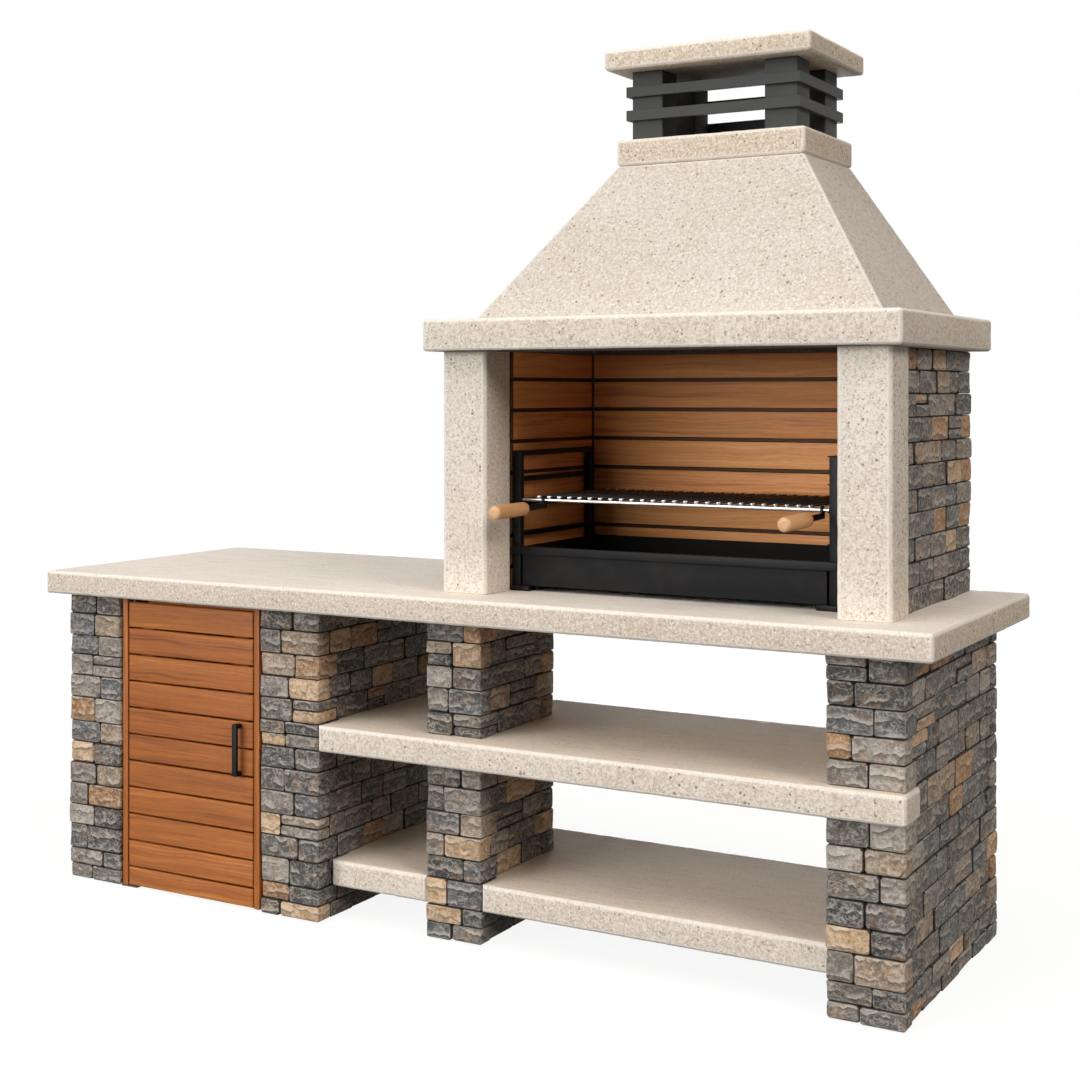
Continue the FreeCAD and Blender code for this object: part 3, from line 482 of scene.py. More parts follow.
def wear_at(spot):
    """How deep an arris is pressed in, in parts of the usual wear: ripples, crumbs and a rare chip."""
    press = 0.35 + 0.35 * noise.noise(spot * RIPPLE_SCALE) + 0.3 * noise.noise(spot * CRUMB_SCALE)
    chip = noise.noise(spot * CHIP_SCALE + CHIP_SHIFT) - CHIP_LEVEL
    return max(press, 0.0) + max(chip, 0.0) * CHIP_DEPTH


def worn_slab(node, material, rounding, seed):
    form = merged_copy(node)
    sharp = [e for e in form.edges if e.is_manifold and e.calc_face_angle() > SHARP_ANGLE]
    bmesh.ops.bevel(
        form, geom=sharp, offset=rounding, segments=2, profile=0.5, affect="EDGES", clamp_overlap=True,
    )
    broad = [f for f in form.faces if f.calc_area() / f.calc_perimeter() > BROAD]
    bmesh.ops.inset_individual(form, faces=broad, thickness=ARRIS_MARGIN, use_even_offset=True)
    still = {v.index for f in broad for v in f.verts}
    keep = form.verts.layers.int.new("still")
    for vert in form.verts:
        vert[keep] = vert.index in still
    bmesh.ops.delete(form, geom=broad, context="FACES_ONLY")
    for group, cuts in lengths_of(form, ARRIS_STEP):
        if cuts > 0:
            bmesh.ops.subdivide_edges(form, edges=group, cuts=cuts, use_grid_fill=True)
    open_edges = [e for e in form.edges if e.is_boundary]
    for edge in open_edges:
        for vert in edge.verts:
            vert[keep] = 1
    bmesh.ops.holes_fill(form, edges=open_edges, sides=0)
    bmesh.ops.recalc_face_normals(form, faces=form.faces)
    form.normal_update()
    edge_layer = form.verts.layers.float.new("edge")
    for vert in form.verts:
        if vert[keep]:
            continue
        vert[edge_layer] = 1.0
        spot = vert.co + Vector((seed, seed * 0.7, seed * 1.3))
        vert.co -= vert.normal * ARRIS_WEAR * wear_at(spot)
    for face in form.faces:
        face.smooth = True
    mesh = mesh_from(form, node)
    piece_of_mesh(mesh, node + "_cast", material, "masonry", [node])
    print(mesh.name, len(mesh.polygons), "faces")


ARRIS_ROUND = 0.0016
HOOD_ROUND = 0.004
SEED_STEP = 3.7
SLABS = {
    "worktop_slab": worktop_concrete, "middle_shelf": concrete, "bottom_shelf": concrete,
    "left_column": column_concrete, "right_column": column_concrete, "lintel_slab": lintel_concrete,
    "hood": hood_concrete, "collar_slab": collar_concrete, "chimney_cap": cap_concrete,
}
for number, (node, material) in enumerate(SLABS.items(), 1):
    worn_slab(node, material, HOOD_ROUND if node == "hood" else ARRIS_ROUND, number * SEED_STEP)

# %% [markdown]
# ## Split stone
# The piers are faced with slate split by hammer: blue-grey, grey, taupe and a few tan ones. Each face
# is a low cushion of facets with pale ridges, and each arris is rubbed round. Seven hundred stones
# can't be modelled one by one. The CAD gives the place and size of each, and a node tree grows a
# rounded block there and presses its faces in with noise, so that no two are alike.

# %% Places and sizes of the stones
def islands(form):
    """Groups of vertices that hang together, in the order of their lowest corner."""
    left = set(form.verts)
    groups = []
    while left:
        group, front = set(), [left.pop()]
        while front:
            vert = front.pop()
            group.add(vert)
            for edge in vert.link_edges:
                other = edge.other_vert(vert)
                if other in left:
                    left.remove(other)
                    front.append(other)
        groups.append([v.co.copy() for v in group])
    return sorted(groups, key=lambda g: tuple(round(min(p[k] for p in g), 4) for k in (2, 1, 0)))


SAME_PLANE = 1e-4


def stone_facing(points):
    """The stone's box, and the way it faces: to the smaller of its two upright ends."""
    low = Vector(min(p[k] for p in points) for k in range(3))
    high = Vector(max(p[k] for p in points) for k in range(3))
    best = None
    for axis in (0, 1):
        ends = [[p for p in points if abs(p[axis] - limit[axis]) < SAME_PLANE] for limit in (low, high)]
        if len(ends[0]) == len(ends[1]) == len(points) // 2:
            widths = [max(p[1 - axis] for p in end) - min(p[1 - axis] for p in end) for end in ends]
            best = (axis, -1 if widths[0] < widths[1] else 1)
    return low, high, best


# Each colour with its share of the stones in front and behind, and of those at the sides
STONE_COLOURS = {
    "charcoal": (paint(88, 87, 86), 15, 22),
    "blue_grey": (paint(106, 108, 110), 13, 17),
    "dark_grey": (paint(114, 109, 104), 18, 21),
    "mid_grey": (paint(146, 138, 130), 20, 14),
    "light_grey": (paint(182, 174, 164), 10, 4),
    "taupe": (paint(174, 155, 134), 9, 7),
    "tan": (paint(220, 186, 148), 8, 6),
    "brown": (paint(190, 146, 104), 7, 9),
}
# The turn about z for each way a stone faces, as (axis, sign)
STONE_TURNS = {(1, -1): math.pi, (1, 1): 0.0, (0, 1): -math.pi / 2, (0, -1): math.pi / 2}
SHADES = (0.84, 1.14)
SEEDS = (0, 40)
STONE_GROWTH = 0.0012
END_SLACK = 0.004
draw = random.Random(41)


def ends_in_joints(pier, low, high, axis, sign):
    """1 for an end that meets another stone, 0 for one on the pier's outside, in the stone's own order."""
    near, far = pier
    across = 1 - axis
    meets = [float(low[across] > near[across] + END_SLACK), float(high[across] < far[across] - END_SLACK)]
    return meets[::-1] if (axis, sign) in ((1, -1), (0, 1)) else meets


def stone_points(node):
    """A mesh of single points, one for each stone, that carries its size, turn and colour."""
    form = joined_copy(node)
    groups = islands(form)
    form.free()
    mesh = bpy.data.meshes.new(node + "_points")
    places, halves, turns, colours, seeds, meets = [], [], [], [], [], []
    names = list(STONE_COLOURS)
    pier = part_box(node)
    for group in groups:
        low, high, (axis, sign) = stone_facing(group)
        size = (high - low) / 2
        places.append((low + high) / 2)
        halves.append((size[1 - axis] + STONE_GROWTH, size[axis], size[2] + STONE_GROWTH))
        turns.append(STONE_TURNS[(axis, sign)])
        name = draw.choices(names, [colour[2 - axis] for colour in STONE_COLOURS.values()])[0]
        shade = draw.uniform(*SHADES)
        colours.append([c * shade for c in STONE_COLOURS[name][0][:3]] + [1.0])
        seeds.append(draw.uniform(*SEEDS))
        meets.append(ends_in_joints(pier, low, high, axis, sign) + [1.0])
    mesh.from_pydata(places, [], [])
    for label, kind, values, field in (
        ("half", "FLOAT_VECTOR", halves, "vector"), ("turn", "FLOAT", turns, "value"),
        ("stone_colour", "FLOAT_COLOR", colours, "color"), ("seed", "FLOAT", seeds, "value"),
        ("meets", "FLOAT_VECTOR", meets, "vector"),
    ):
        layer = mesh.attributes.new(label, kind, "POINT")
        for item, value in zip(layer.data, values):
            setattr(item, field, value)
    return mesh


STONE_NODES = sorted(n for n in frame["nodes"] if n.endswith("_stones"))
stone_meshes = {node: stone_points(node) for node in STONE_NODES}
print(sum(len(m.vertices) for m in stone_meshes.values()), "stones")

# %% Relief that the tree and the finish share
def split_relief(graph, lay):
    """Depth of the split face, 0 to 1, from a stone's own coordinates."""
    flat = lay * (0.6, 1.0, 1.2)
    broad = graph.noise(flat, 16.0, 1.0)
    swell = graph.noise(flat + (4.0, 9.0, 1.0), 34.0, 1.0)
    return (broad * 0.65 + swell * 0.35).rise(0.25, 0.75)


print("relief ready")

# %% Tree that grows the stones
def new_tree(name, inputs):
    tree = bpy.data.node_groups.new(name, "GeometryNodeTree")
    for label, kind in inputs.items():
        tree.interface.new_socket(label, in_out="INPUT", socket_type="NodeSocket" + kind)
    tree.interface.new_socket("Result", in_out="OUTPUT", socket_type="NodeSocketGeometry")
    return tree, Graph(tree)


def close_tree(graph, geometry, material):
    whole = graph.node("GeometryNodeRealizeInstances", {}, {0: geometry})[0]
    covered = graph.node("GeometryNodeSetMaterial", {}, {"Geometry": whole, "Material": material})[0]
    graph.node("NodeGroupOutput", {}, {"Result": covered})


def named(graph, kind, name):
    return graph.node("GeometryNodeInputNamedAttribute", {"data_type": kind}, {"Name": name})["Attribute"]


def stored(graph, geometry, kind, name, value):
    settings = {"data_type": kind, "domain": "POINT"}
    sockets = {"Geometry": geometry, "Name": name, "Value": value}
    return graph.node("GeometryNodeStoreNamedAttribute", settings, sockets)["Geometry"]


def stone_tree(material):
    tree, graph = new_tree("laid_stones", {
        "Points": "Geometry", "Along": "Int", "Deep": "Int", "Up": "Int", "Arris": "Float",
        "Face relief": "Float", "End relief": "Float", "Bed relief": "Float",
    })
    given = graph.node("NodeGroupInput")
    place = graph.node("GeometryNodeInputPosition")["Position"]
    points = stored(graph, given["Points"], "FLOAT_VECTOR", "middle", place)
    block = graph.node("GeometryNodeMeshCube", {}, {
        "Size": (2, 2, 2),
        "Vertices X": given["Along"], "Vertices Y": given["Deep"], "Vertices Z": given["Up"],
    })["Mesh"]
    block = stored(graph, block, "FLOAT_VECTOR", "unit", place)
    laid = graph.node("GeometryNodeInstanceOnPoints", {}, {"Points": points, "Instance": block})["Instances"]
    whole = graph.node("GeometryNodeRealizeInstances", {}, {0: laid})[0]

    unit = named(graph, "FLOAT_VECTOR", "unit")
    half = named(graph, "FLOAT_VECTOR", "half")
    seed = named(graph, "FLOAT", "seed")
    last = graph.vector(*((given[way] - 3) / (given[way] - 1) for way in ("Along", "Deep", "Up")))
    flat = graph.vector_math("MAXIMUM", graph.vector_math("MINIMUM", unit, last), last * -1)
    arris = graph.vector(*(given["Arris"] * (0.75 + graph.math("FRACT", seed) * 0.7),) * 3)
    out = graph.vector_math("NORMALIZE", (unit - flat) / (1 - last))
    rounded = flat / last * (half - arris) + out * arris
    side, face, bed = graph.vector_math("ABSOLUTE", out).xyz()
    low_end, high_end, _ = named(graph, "FLOAT_VECTOR", "meets").xyz()
    ahead = graph.math("MAXIMUM", out.xyz()[0], 0.0)
    met = ahead * high_end + (side - ahead) * low_end
    lay = rounded + graph.vector(seed, seed * 1.7, seed * 0.6)
    reach = face * given["Face relief"] + (side - met) * given["End relief"]
    reach = reach + (bed + met) * given["Bed relief"]
    pressed = rounded - out * graph.vector(*(split_relief(graph, lay) * reach,) * 3)
    turned = graph.node("ShaderNodeVectorRotate", {"rotation_type": "Z_AXIS"}, {
        "Vector": pressed, "Angle": named(graph, "FLOAT", "turn"),
    })["Vector"]
    whole = stored(graph, whole, "FLOAT_VECTOR", "lay", lay)
    whole = stored(graph, whole, "FLOAT_VECTOR", "spot", rounded)
    whole = stored(graph, whole, "FLOAT", "joint", bed + met)
    final = turned + named(graph, "FLOAT_VECTOR", "middle")
    shaped = graph.node("GeometryNodeSetPosition", {}, {"Geometry": whole, "Position": final})["Geometry"]
    smooth = graph.node("GeometryNodeSetShadeSmooth", {}, {0: shaped})[0]
    close_tree(graph, smooth, material)
    print("stone tree with", len(tree.nodes), "nodes")
    return tree


# %% [markdown]
# The stone finish reads what the tree leaves on each stone: its colour, its own coordinates and how
# far a point lies in from the block's sides. A split face is made of flat chips, so Voronoi cells
# are used, each with its own height and tilt, and not cloudy noise. A few ragged ledges run across,
# with a painted highlight on the crest and painted shade below it, and the rubbed arrises are pale.

# %% Split stone finish
def chips(graph, place, scale):
    """Height of flat chips that tilt at random, and the distance from the nearest chip's edge."""
    ends = {"Vector": place, "Scale": scale}
    cell = graph.node("ShaderNodeTexVoronoi", {}, ends)
    rim = graph.node("ShaderNodeTexVoronoi", {"feature": "DISTANCE_TO_EDGE"}, ends)
    tilt = graph.node("ShaderNodeVectorMath", {"operation": "DOT_PRODUCT"}, {
        0: cell["Color"] - 0.5, 1: (place - cell["Position"]) * scale})["Value"]
    return cell["Color"].xyz()[0] * 0.5 + tilt * 0.9, rim["Distance"]


BIG_CHIPS = 30.0
SMALL_CHIPS = 85.0
LEDGE_PITCH = 0.041
SPLIT_DEPTH = 0.008
RUBBED = paint(226, 217, 205)
IRON_STAIN = paint(182, 138, 96)
JOINT_DARK = paint(28, 25, 22)


def split_stone(graph):
    lay = graph.attribute("lay", "Vector")
    base = graph.attribute("stone_colour", "Color")
    spot = graph.vector_math("ABSOLUTE", graph.attribute("spot", "Vector"))
    a, b, c = (graph.attribute("half", "Vector") - spot).xyz()
    from_arris = a + b + c - graph.math("MAXIMUM", graph.math("MAXIMUM", a, b), c)

    stir = graph.node("ShaderNodeTexNoise", {}, {"Vector": lay, "Scale": 42.0, "Detail": 2.0})["Color"]
    bent = lay * (0.75, 1.0, 1.35) + (stir - 0.5) * 0.022
    big, big_rim = chips(graph, bent, BIG_CHIPS)
    small, small_rim = chips(graph, bent + (3.0, 1.0, 2.0), SMALL_CHIPS)
    x, y, z = lay.xyz()
    waver = graph.noise(graph.vector(x, y, z * 0.3), 17.0, 3.0, 0.62) - 0.5
    ledge = graph.math("FRACT", (z + waver * 0.055) / -LEDGE_PITCH)
    some = graph.noise(lay + (8.0, 3.0, 5.0), 24.0, 1.0).rise(0.42, 0.54)
    # Painted highlight on each ledge's crest and painted shade below it.
    crest_highlight = ledge.rise(0.62, 0.98) * some
    shade = ledge.rise(0.36, 0.0) * some
    grain = graph.noise(lay, 300.0, 3.0, 0.65)
    mottle = graph.noise(lay + (1.0, 2.0, 0.5), 95.0, 3.0, 0.65)
    stain = graph.noise(lay + (2.0, 5.0, 3.0), 18.0, 2.0)
    vein = abs(graph.noise(bent + (6.0, 2.0, 4.0), 26.0, 2.0, 0.5, 0.8) - 0.5).rise(0.03, 0.006)
    rim = small_rim.rise(0.1, 0.0) * mottle.rise(0.48, 0.6)
    big_line = big_rim.rise(0.07, 0.0) * mottle.rise(0.44, 0.56)
    ragged = from_arris + (mottle - 0.5) * 0.006
    worn = ragged.rise(0.0056, 0.003)
    joint = graph.attribute("joint").rise(0.76, 0.96)

    pale = graph.blend(0.62, base, RUBBED)
    dark = base * (0.26, 0.24, 0.22)
    warm = graph.blend(0.55, base, IRON_STAIN)
    colour = graph.blend(stain.rise(0.52, 0.62) * 0.6, base, warm)
    colour = graph.blend(mottle.rise(0.52, 0.3) * 0.55, colour, dark)
    colour = graph.blend(mottle.rise(0.53, 0.74) * 0.4, colour, pale)
    colour = graph.blend(big.rise(0.3, -0.1) * 0.4, colour, dark)
    colour = graph.blend(small.rise(0.45, 0.05) * 0.3, colour, dark)
    colour = graph.blend(rim * 0.4, colour, pale)
    colour = graph.blend(big_line * 0.45, colour, pale)
    colour = graph.blend(vein * 0.5, colour, pale)
    # Painted shade below the ledges, then a painted highlight on their crests.
    colour = graph.blend(shade * 0.75, colour, dark)
    colour = graph.blend(crest_highlight * 0.65, colour, pale)
    colour = graph.blend(grain.rise(0.46, 0.28) * 0.4, colour, dark)
    colour = graph.blend(grain.rise(0.56, 0.76) * 0.4, colour, pale)
    colour = graph.blend(worn * 0.3, colour, pale)
    colour = graph.blend(joint * 0.9, colour, JOINT_DARK)
    height = big * 0.8 + small * 0.3 + ledge * some * 0.9 + mottle * 0.45 + grain * 0.14
    return {
        "Base Color": colour,
        "Roughness": 0.74 + (grain - 0.5) * 0.3,
        "Specular IOR Level": 0.3,
        "Normal": graph.bump(height, SPLIT_DEPTH, 0.85),
    }


slate = finish("split_slate", split_stone)

# %% Grow the stones
def grown(name, mesh, tree, values):
    """Runs a tree on a mesh and keeps the result as a plain mesh."""
    seedling = bpy.data.objects.new(name + "_start", mesh)
    scene.collection.objects.link(seedling)
    modifier = seedling.modifiers.new("grow", "NODES")
    modifier.node_group = tree
    for item in tree.interface.items_tree:
        if item.in_out == "INPUT" and item.name in values:
            modifier[item.identifier] = values[item.name]
    depsgraph = bpy.context.evaluated_depsgraph_get()
    plain = bpy.data.meshes.new_from_object(seedling.evaluated_get(depsgraph), depsgraph=depsgraph)
    seedling.modifiers.clear()
    bpy.data.objects.remove(seedling)
    return plain


STONE_SIZES = {
    "Along": 6, "Deep": 4, "Up": 5, "Arris": 0.006, "Face relief": 0.006, "End relief": 0.004,
    "Bed relief": 0.0004,
}
stones_grow = stone_tree(slate)
for node, mesh in stone_meshes.items():
    plain = grown(node, mesh, stones_grow, STONE_SIZES)
    piece_of_mesh(plain, node + "_split", slate, "masonry", [node])
    print(node, len(plain.polygons), "faces")

# %% [markdown]
# ## Mortar and cement board
# The cores behind the stones and the back of the firebox are grey mortar, brushed off flat. The
# cupboard is closed behind with a fibre cement sheet. Both solids have the right shape, so they
# stay, with a finish of sand grains and cloudy damp patches.

# %% Mortar and cement board
def sanded(colour, darker, grain_scale, depth):
    def surface(graph):
        place = graph.place()
        grain = graph.noise(place, grain_scale, 3.0, 0.65)
        cloud = graph.noise(place, 4.0, 4.0, 0.6)
        brushed = graph.noise(place * (1.0, 1.0, 9.0), 30.0, 2.0)
        shade = graph.blend(cloud.rise(0.35, 0.68) * 0.55, colour, darker)
        shade = graph.blend(grain.rise(0.45, 0.75) * 0.4, shade, darker)
        return {
            "Base Color": shade,
            "Roughness": 0.86 + (grain - 0.5) * 0.2,
            "Specular IOR Level": 0.2,
            "Normal": graph.bump(grain + brushed * 0.5, depth, 0.7),
        }
    return surface


def dress(material, *nodes):
    for node in nodes:
        mesh = frame["nodes"][node].data
        mesh.materials.clear()
        mesh.materials.append(material)
    print(material.name, "on", len(nodes), "nodes")


mortar = finish("mortar", sanded(paint(132, 128, 121), paint(92, 88, 82), 260.0, 0.002))
cement_board = finish("cement_board", sanded(paint(176, 174, 169), paint(150, 147, 140), 500.0, 0.0006))
dress(mortar, "back_wall", *(n for n in frame["nodes"] if n.endswith("_core")))
dress(cement_board, "cupboard_back_panel")

# %% [markdown]
# ## Planks and lining boards
# The door is of oiled reddish planks and the fire is lined with boards of a browner wood pattern. In
# both the grain runs along the board and each board has its own tone. The board is found from the
# height, so noise can be shifted from board to board, and stretched noise gives streaks and pores.

# %% Board finish
# Near-black painted shade for the lining's grooves and corners.
BOARD_SHADE = paint(20, 12, 8)
PORE_DEPTH = 0.0006


def boards(top, pitch, along, shades, seed, groove=None, corners=()):
    """Grain along x, y or z.

    A groove is (the boards' face, which way is in): what lies deeper gets painted shade. A corner is (where
    along the grain the boards end, how far from there they get painted shade too).
    """
    dark, middle, light = shades

    def surface(graph):
        place = graph.place()
        x, y, z = place.xyz()
        count = graph.math("FLOOR", (z - top) / pitch)
        chance = graph.node("ShaderNodeTexWhiteNoise", {"noise_dimensions": "1D"}, {"W": count + seed})
        one, two, _ = chance["Color"].xyz()
        run, across, deep = {"x": (x, z, y), "y": (y, z, x), "z": (z, x, y)}[along]
        run = run + one * 7
        rise = across + two * 3
        waver = (graph.noise(graph.vector(run * 1.3, rise * 4, deep), 2.0, 2.0) - 0.5) * 0.05
        bands = graph.noise(graph.vector(run * 0.8, (rise + waver) * 40, deep * 8), 1.0, 2.0, 0.5, 0.4)
        streaks = graph.noise(graph.vector(run * 3.5, (rise + waver) * 170, deep * 60), 1.0, 3.0, 0.6)
        pores = graph.noise(graph.vector(run * 26, rise * 900, deep * 300), 1.0, 1.0).rise(0.58, 0.72)
        tone = bands * 0.42 + streaks * 0.58 + (one - 0.5) * 0.12
        colour = graph.blend(tone.rise(0.24, 0.51), dark, middle)
        colour = graph.blend(tone.rise(0.49, 0.73), colour, light)
        colour = graph.blend(pores * 0.4, colour, dark)
        if groove:
            face, inward = groove
            groove_shade = ((deep - face) * inward).rise(0.0025, 0.006)
            for corner, reach in corners:
                groove_shade = groove_shade + abs((x if along == "x" else y) - corner).rise(reach + 0.002, reach)
            # Painted shade: what lies deeper than the boards' face, and the board ends at corners and mouth.
            colour = graph.blend(groove_shade * 0.92, colour, BOARD_SHADE)
        return {
            "Base Color": colour,
            "Roughness": 0.5 + (streaks - 0.5) * 0.2 + pores * 0.15,
            "Specular IOR Level": 0.3,
            "Normal": graph.bump(streaks * 0.6 - pores * 0.5, PORE_DEPTH, 0.6),
        }
    return surface


print("boards ready")

# %% Door, jambs and lining
PLANK_PITCH = 0.076
LINING_PITCH = 0.0825
LINING_TOP_CUT = 0.006
# How far from a corner and from the mouth the boards get painted shade.
CORNER_SHADE = 0.0035
MOUTH_SHADE = 0.009
OILED = (paint(106, 53, 18), paint(165, 95, 39), paint(197, 127, 62))
LINED = (paint(172, 104, 55), paint(228, 154, 91), paint(250, 186, 119))
low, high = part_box("door_planks")
door_wood = finish("oiled_planks", boards(high.z, PLANK_PITCH, "x", OILED, 3.0))
jamb_wood = finish("oiled_jambs", boards(9.0, 20.0, "z", OILED, 11.0))
low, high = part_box("back_lining")
lining_top = high.z + LINING_TOP_CUT
back = low.y
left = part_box("left_lining")[1].x
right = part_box("right_lining")[0].x
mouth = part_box("left_lining")[0].y
back_ends = [(left, CORNER_SHADE)]
side_ends = [(back, CORNER_SHADE), (mouth, MOUTH_SHADE)]
back_boards = finish(
    "lining_boards", boards(lining_top, LINING_PITCH, "x", LINED, 23.0, (back, 1), back_ends))
left_boards = finish(
    "left_lining_boards", boards(lining_top, LINING_PITCH, "y", LINED, 31.0, (left, -1), side_ends))
right_boards = finish(
    "right_lining_boards", boards(lining_top, LINING_PITCH, "y", LINED, 37.0, (right, 1), side_ends))

# %% [markdown]
# Sharp solid edges look false because a real edge always has a small round that catches the light.
# A Bevel modifier with hardened normals rounds a copy of each solid and keeps its flats flat.

# %% Eased copies
EASED_ANGLE = math.radians(28)
PLANK_EASE = 0.0018
WOOD_EASE = 0.0015


def eased(node, material, width, body="masonry", smooth=True):
    form = merged_copy(node)
    for face in form.faces:
        face.smooth = smooth
    rough = bpy.data.objects.new(node + "_start", mesh_from(form, node))
    scene.collection.objects.link(rough)
    bevel = rough.modifiers.new("ease", "BEVEL")
    bevel.width = width
    bevel.segments = 2
    bevel.limit_method = "ANGLE"
    bevel.angle_limit = EASED_ANGLE
    bevel.harden_normals = smooth
    depsgraph = bpy.context.evaluated_depsgraph_get()
    plain = bpy.data.meshes.new_from_object(rough.evaluated_get(depsgraph), depsgraph=depsgraph)
    bpy.data.objects.remove(rough)
    slot = next(s["material_slot"] for s in frame["record"]["subparts"] if s["node"] == node)
    piece_of_mesh(plain, node + "_eased", material, body, [node])


eased("door_planks", door_wood, PLANK_EASE, "door")
eased("door_battens", jamb_wood, WOOD_EASE, "door")
for node in ("left_door_jamb", "right_door_jamb", "door_head_stop", "cupboard_back_cleats"):
    eased(node, jamb_wood, WOOD_EASE)
eased("back_lining", back_boards, WOOD_EASE)
eased("left_lining", left_boards, WOOD_EASE)
eased("right_lining", right_boards, WOOD_EASE)
print("boards eased")

# %% [markdown]
# ## Steel
# The tray, racks and handle are painted satin black, and the cowl is anthracite. Paint on steel is
# even but not flat: it has a faint orange peel, and dust makes it greyer where it lies. The inside of
# the tray and the cowl is made nearly black: soot, and painted shade where little light reaches. The
# grill bars are plated, so nearly all of what they show is reflected, apart from the burnt middle of
# the rods.

# %% Painted and plated steel
PEEL_DEPTH = 0.0004
FILM_DEPTH = 0.0002
STRAW_TINT = paint(168, 158, 146)
BURNT_FADE = 0.012


def painted(colour, worn, roughness, peel, sheen=0.3, smoke=None):
    """Smoke is the middle, seen from above, of the smoke whose soot, with painted shade, blackens what faces
    it.
    """
    def surface(graph):
        place = graph.place()
        skin = graph.noise(place, peel, 2.0)
        dust = graph.noise(place, 9.0, 4.0, 0.6)
        speck = graph.noise(place, 700.0, 1.0)
        shade = graph.blend(dust.rise(0.45, 0.75) * 0.5, colour, worn)
        shade = graph.blend(speck.rise(0.62, 0.8) * 0.35, shade, worn)
        # Soot, and painted shade, on the faces turned towards the smoke.
        if smoke:
            shade = graph.blend(facing_soot_and_shade(graph, smoke) * SOOT_AND_SHADE_SHARE, shade, SOOT_AND_SHADE)
        return {
            "Base Color": shade,
            "Roughness": roughness + (dust - 0.5) * 0.16 + (skin - 0.5) * 0.08,
            "Specular IOR Level": sheen,
            "Normal": graph.bump(skin + speck * 0.3, PEEL_DEPTH, 0.5),
        }
    return surface


def plated(colour, roughness, fired=None):
    """Bright plating. Fired is (the middle and half length along y that the fire has darkened, the dark)."""
    def surface(graph):
        place = graph.place()
        film = graph.noise(place, 60.0, 3.0)
        heat = graph.noise(place, 12.0, 2.0)
        shade = graph.blend(heat.rise(0.5, 0.75) * 0.4, colour, STRAW_TINT)
        gloss = roughness + film.rise(0.4, 0.75) * 0.16
        metal = 1.0
        if fired:
            middle, reach, dark = fired
            metal = abs(place.xyz()[1] - middle).rise(reach - BURNT_FADE, reach)
            shade = graph.blend(metal, dark, shade)
            gloss = gloss + (1 - metal) * 0.4
        return {
            "Base Color": shade,
            "Metallic": metal,
            "Roughness": gloss,
            "Specular IOR Level": 0.25,
            "Normal": graph.bump(film, FILM_DEPTH, 0.3),
        }
    return surface


print("steel ready")

# %% Paints and platings
BRIGHT_ENDS = 0.014
BURNT_SHIFT = 0.006
black_steel = finish("black_heat_paint", painted(paint(16, 16, 17), paint(32, 31, 30), 0.46, 260.0, 0.15))
# The tray and the cowl take soot and painted shade on their inward faces.
tray_steel = finish(
    "black_tray_paint", painted(paint(34, 34, 35), paint(48, 47, 46), 0.5, 260.0, 0.05, fire_middle))
anthracite = finish(
    "anthracite_paint", painted(paint(55, 56, 55), paint(70, 70, 68), 0.62, 220.0, smoke=cowl_middle))
cast_anthracite = finish(
    "anthracite_cast", painted(paint(67, 68, 66), paint(84, 84, 81), 0.75, 120.0, smoke=cowl_middle))
chrome = finish("grill_plating", plated(paint(198, 198, 200), 0.14))
low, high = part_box("grill_rods")
burnt = ((low.y + high.y) / 2 - BURNT_SHIFT, (high.y - low.y) / 2 - BRIGHT_ENDS, paint(60, 56, 53))
fired = finish("grill_rods_fired", plated(paint(216, 216, 218), 0.26, burnt))
# The zinc is given a dark colour so the pivots in the gaps by the door read as shade: painted shade.
shade_darkened_zinc = finish("zinc_plating", plated(paint(84, 82, 78), 0.45))
case_plastic = finish("catch_case", painted(paint(48, 48, 50), paint(70, 70, 70), 0.55, 500.0))

# %% Steel pieces
STEEL_EASE = 0.0012
RAIL_EASE = 0.0006
HANDLE_EASE = 0.0009
POST_EASE = 0.003
PLATE_EASE = 0.0003
CASE_EASE = 0.0008
eased("fire_tray", tray_steel, STEEL_EASE)
for node in ("tray_front_lip", "rack_feet", "left_rack_uprights", "right_rack_uprights"):
    eased(node, black_steel, STEEL_EASE)
for node in ("left_rack_rails", "right_rack_rails"):
    eased(node, black_steel, RAIL_EASE)
eased("door_handle", black_steel, HANDLE_EASE, "door")
eased("grill_handle_straps", black_steel, RAIL_EASE, "grill")
eased("cowl_posts", cast_anthracite, POST_EASE)
for node in ("lower_cowl_band", "upper_cowl_band"):
    eased(node, anthracite, STEEL_EASE, smooth=False)
eased("strike_plate", shade_darkened_zinc, PLATE_EASE, "door")
eased("magnet_catch", case_plastic, CASE_EASE)
dress(shade_darkened_zinc, "bottom_pivot", "top_pivot")
dress(chrome, "grill_frame")

# %% [markdown]
# ## Grill rods
# Twenty-six thin rods lie across the two bars, with ends cut round. They repeat at one pitch, so a
# tree with a line of points and one instanced rod makes them, and a second line adds the weld bead
# where each rod meets a bar.

# %% Rods and weld beads
ROD_SIDES = 10
BEAD_SHAPE = (1.25, 0.75, 0.5)


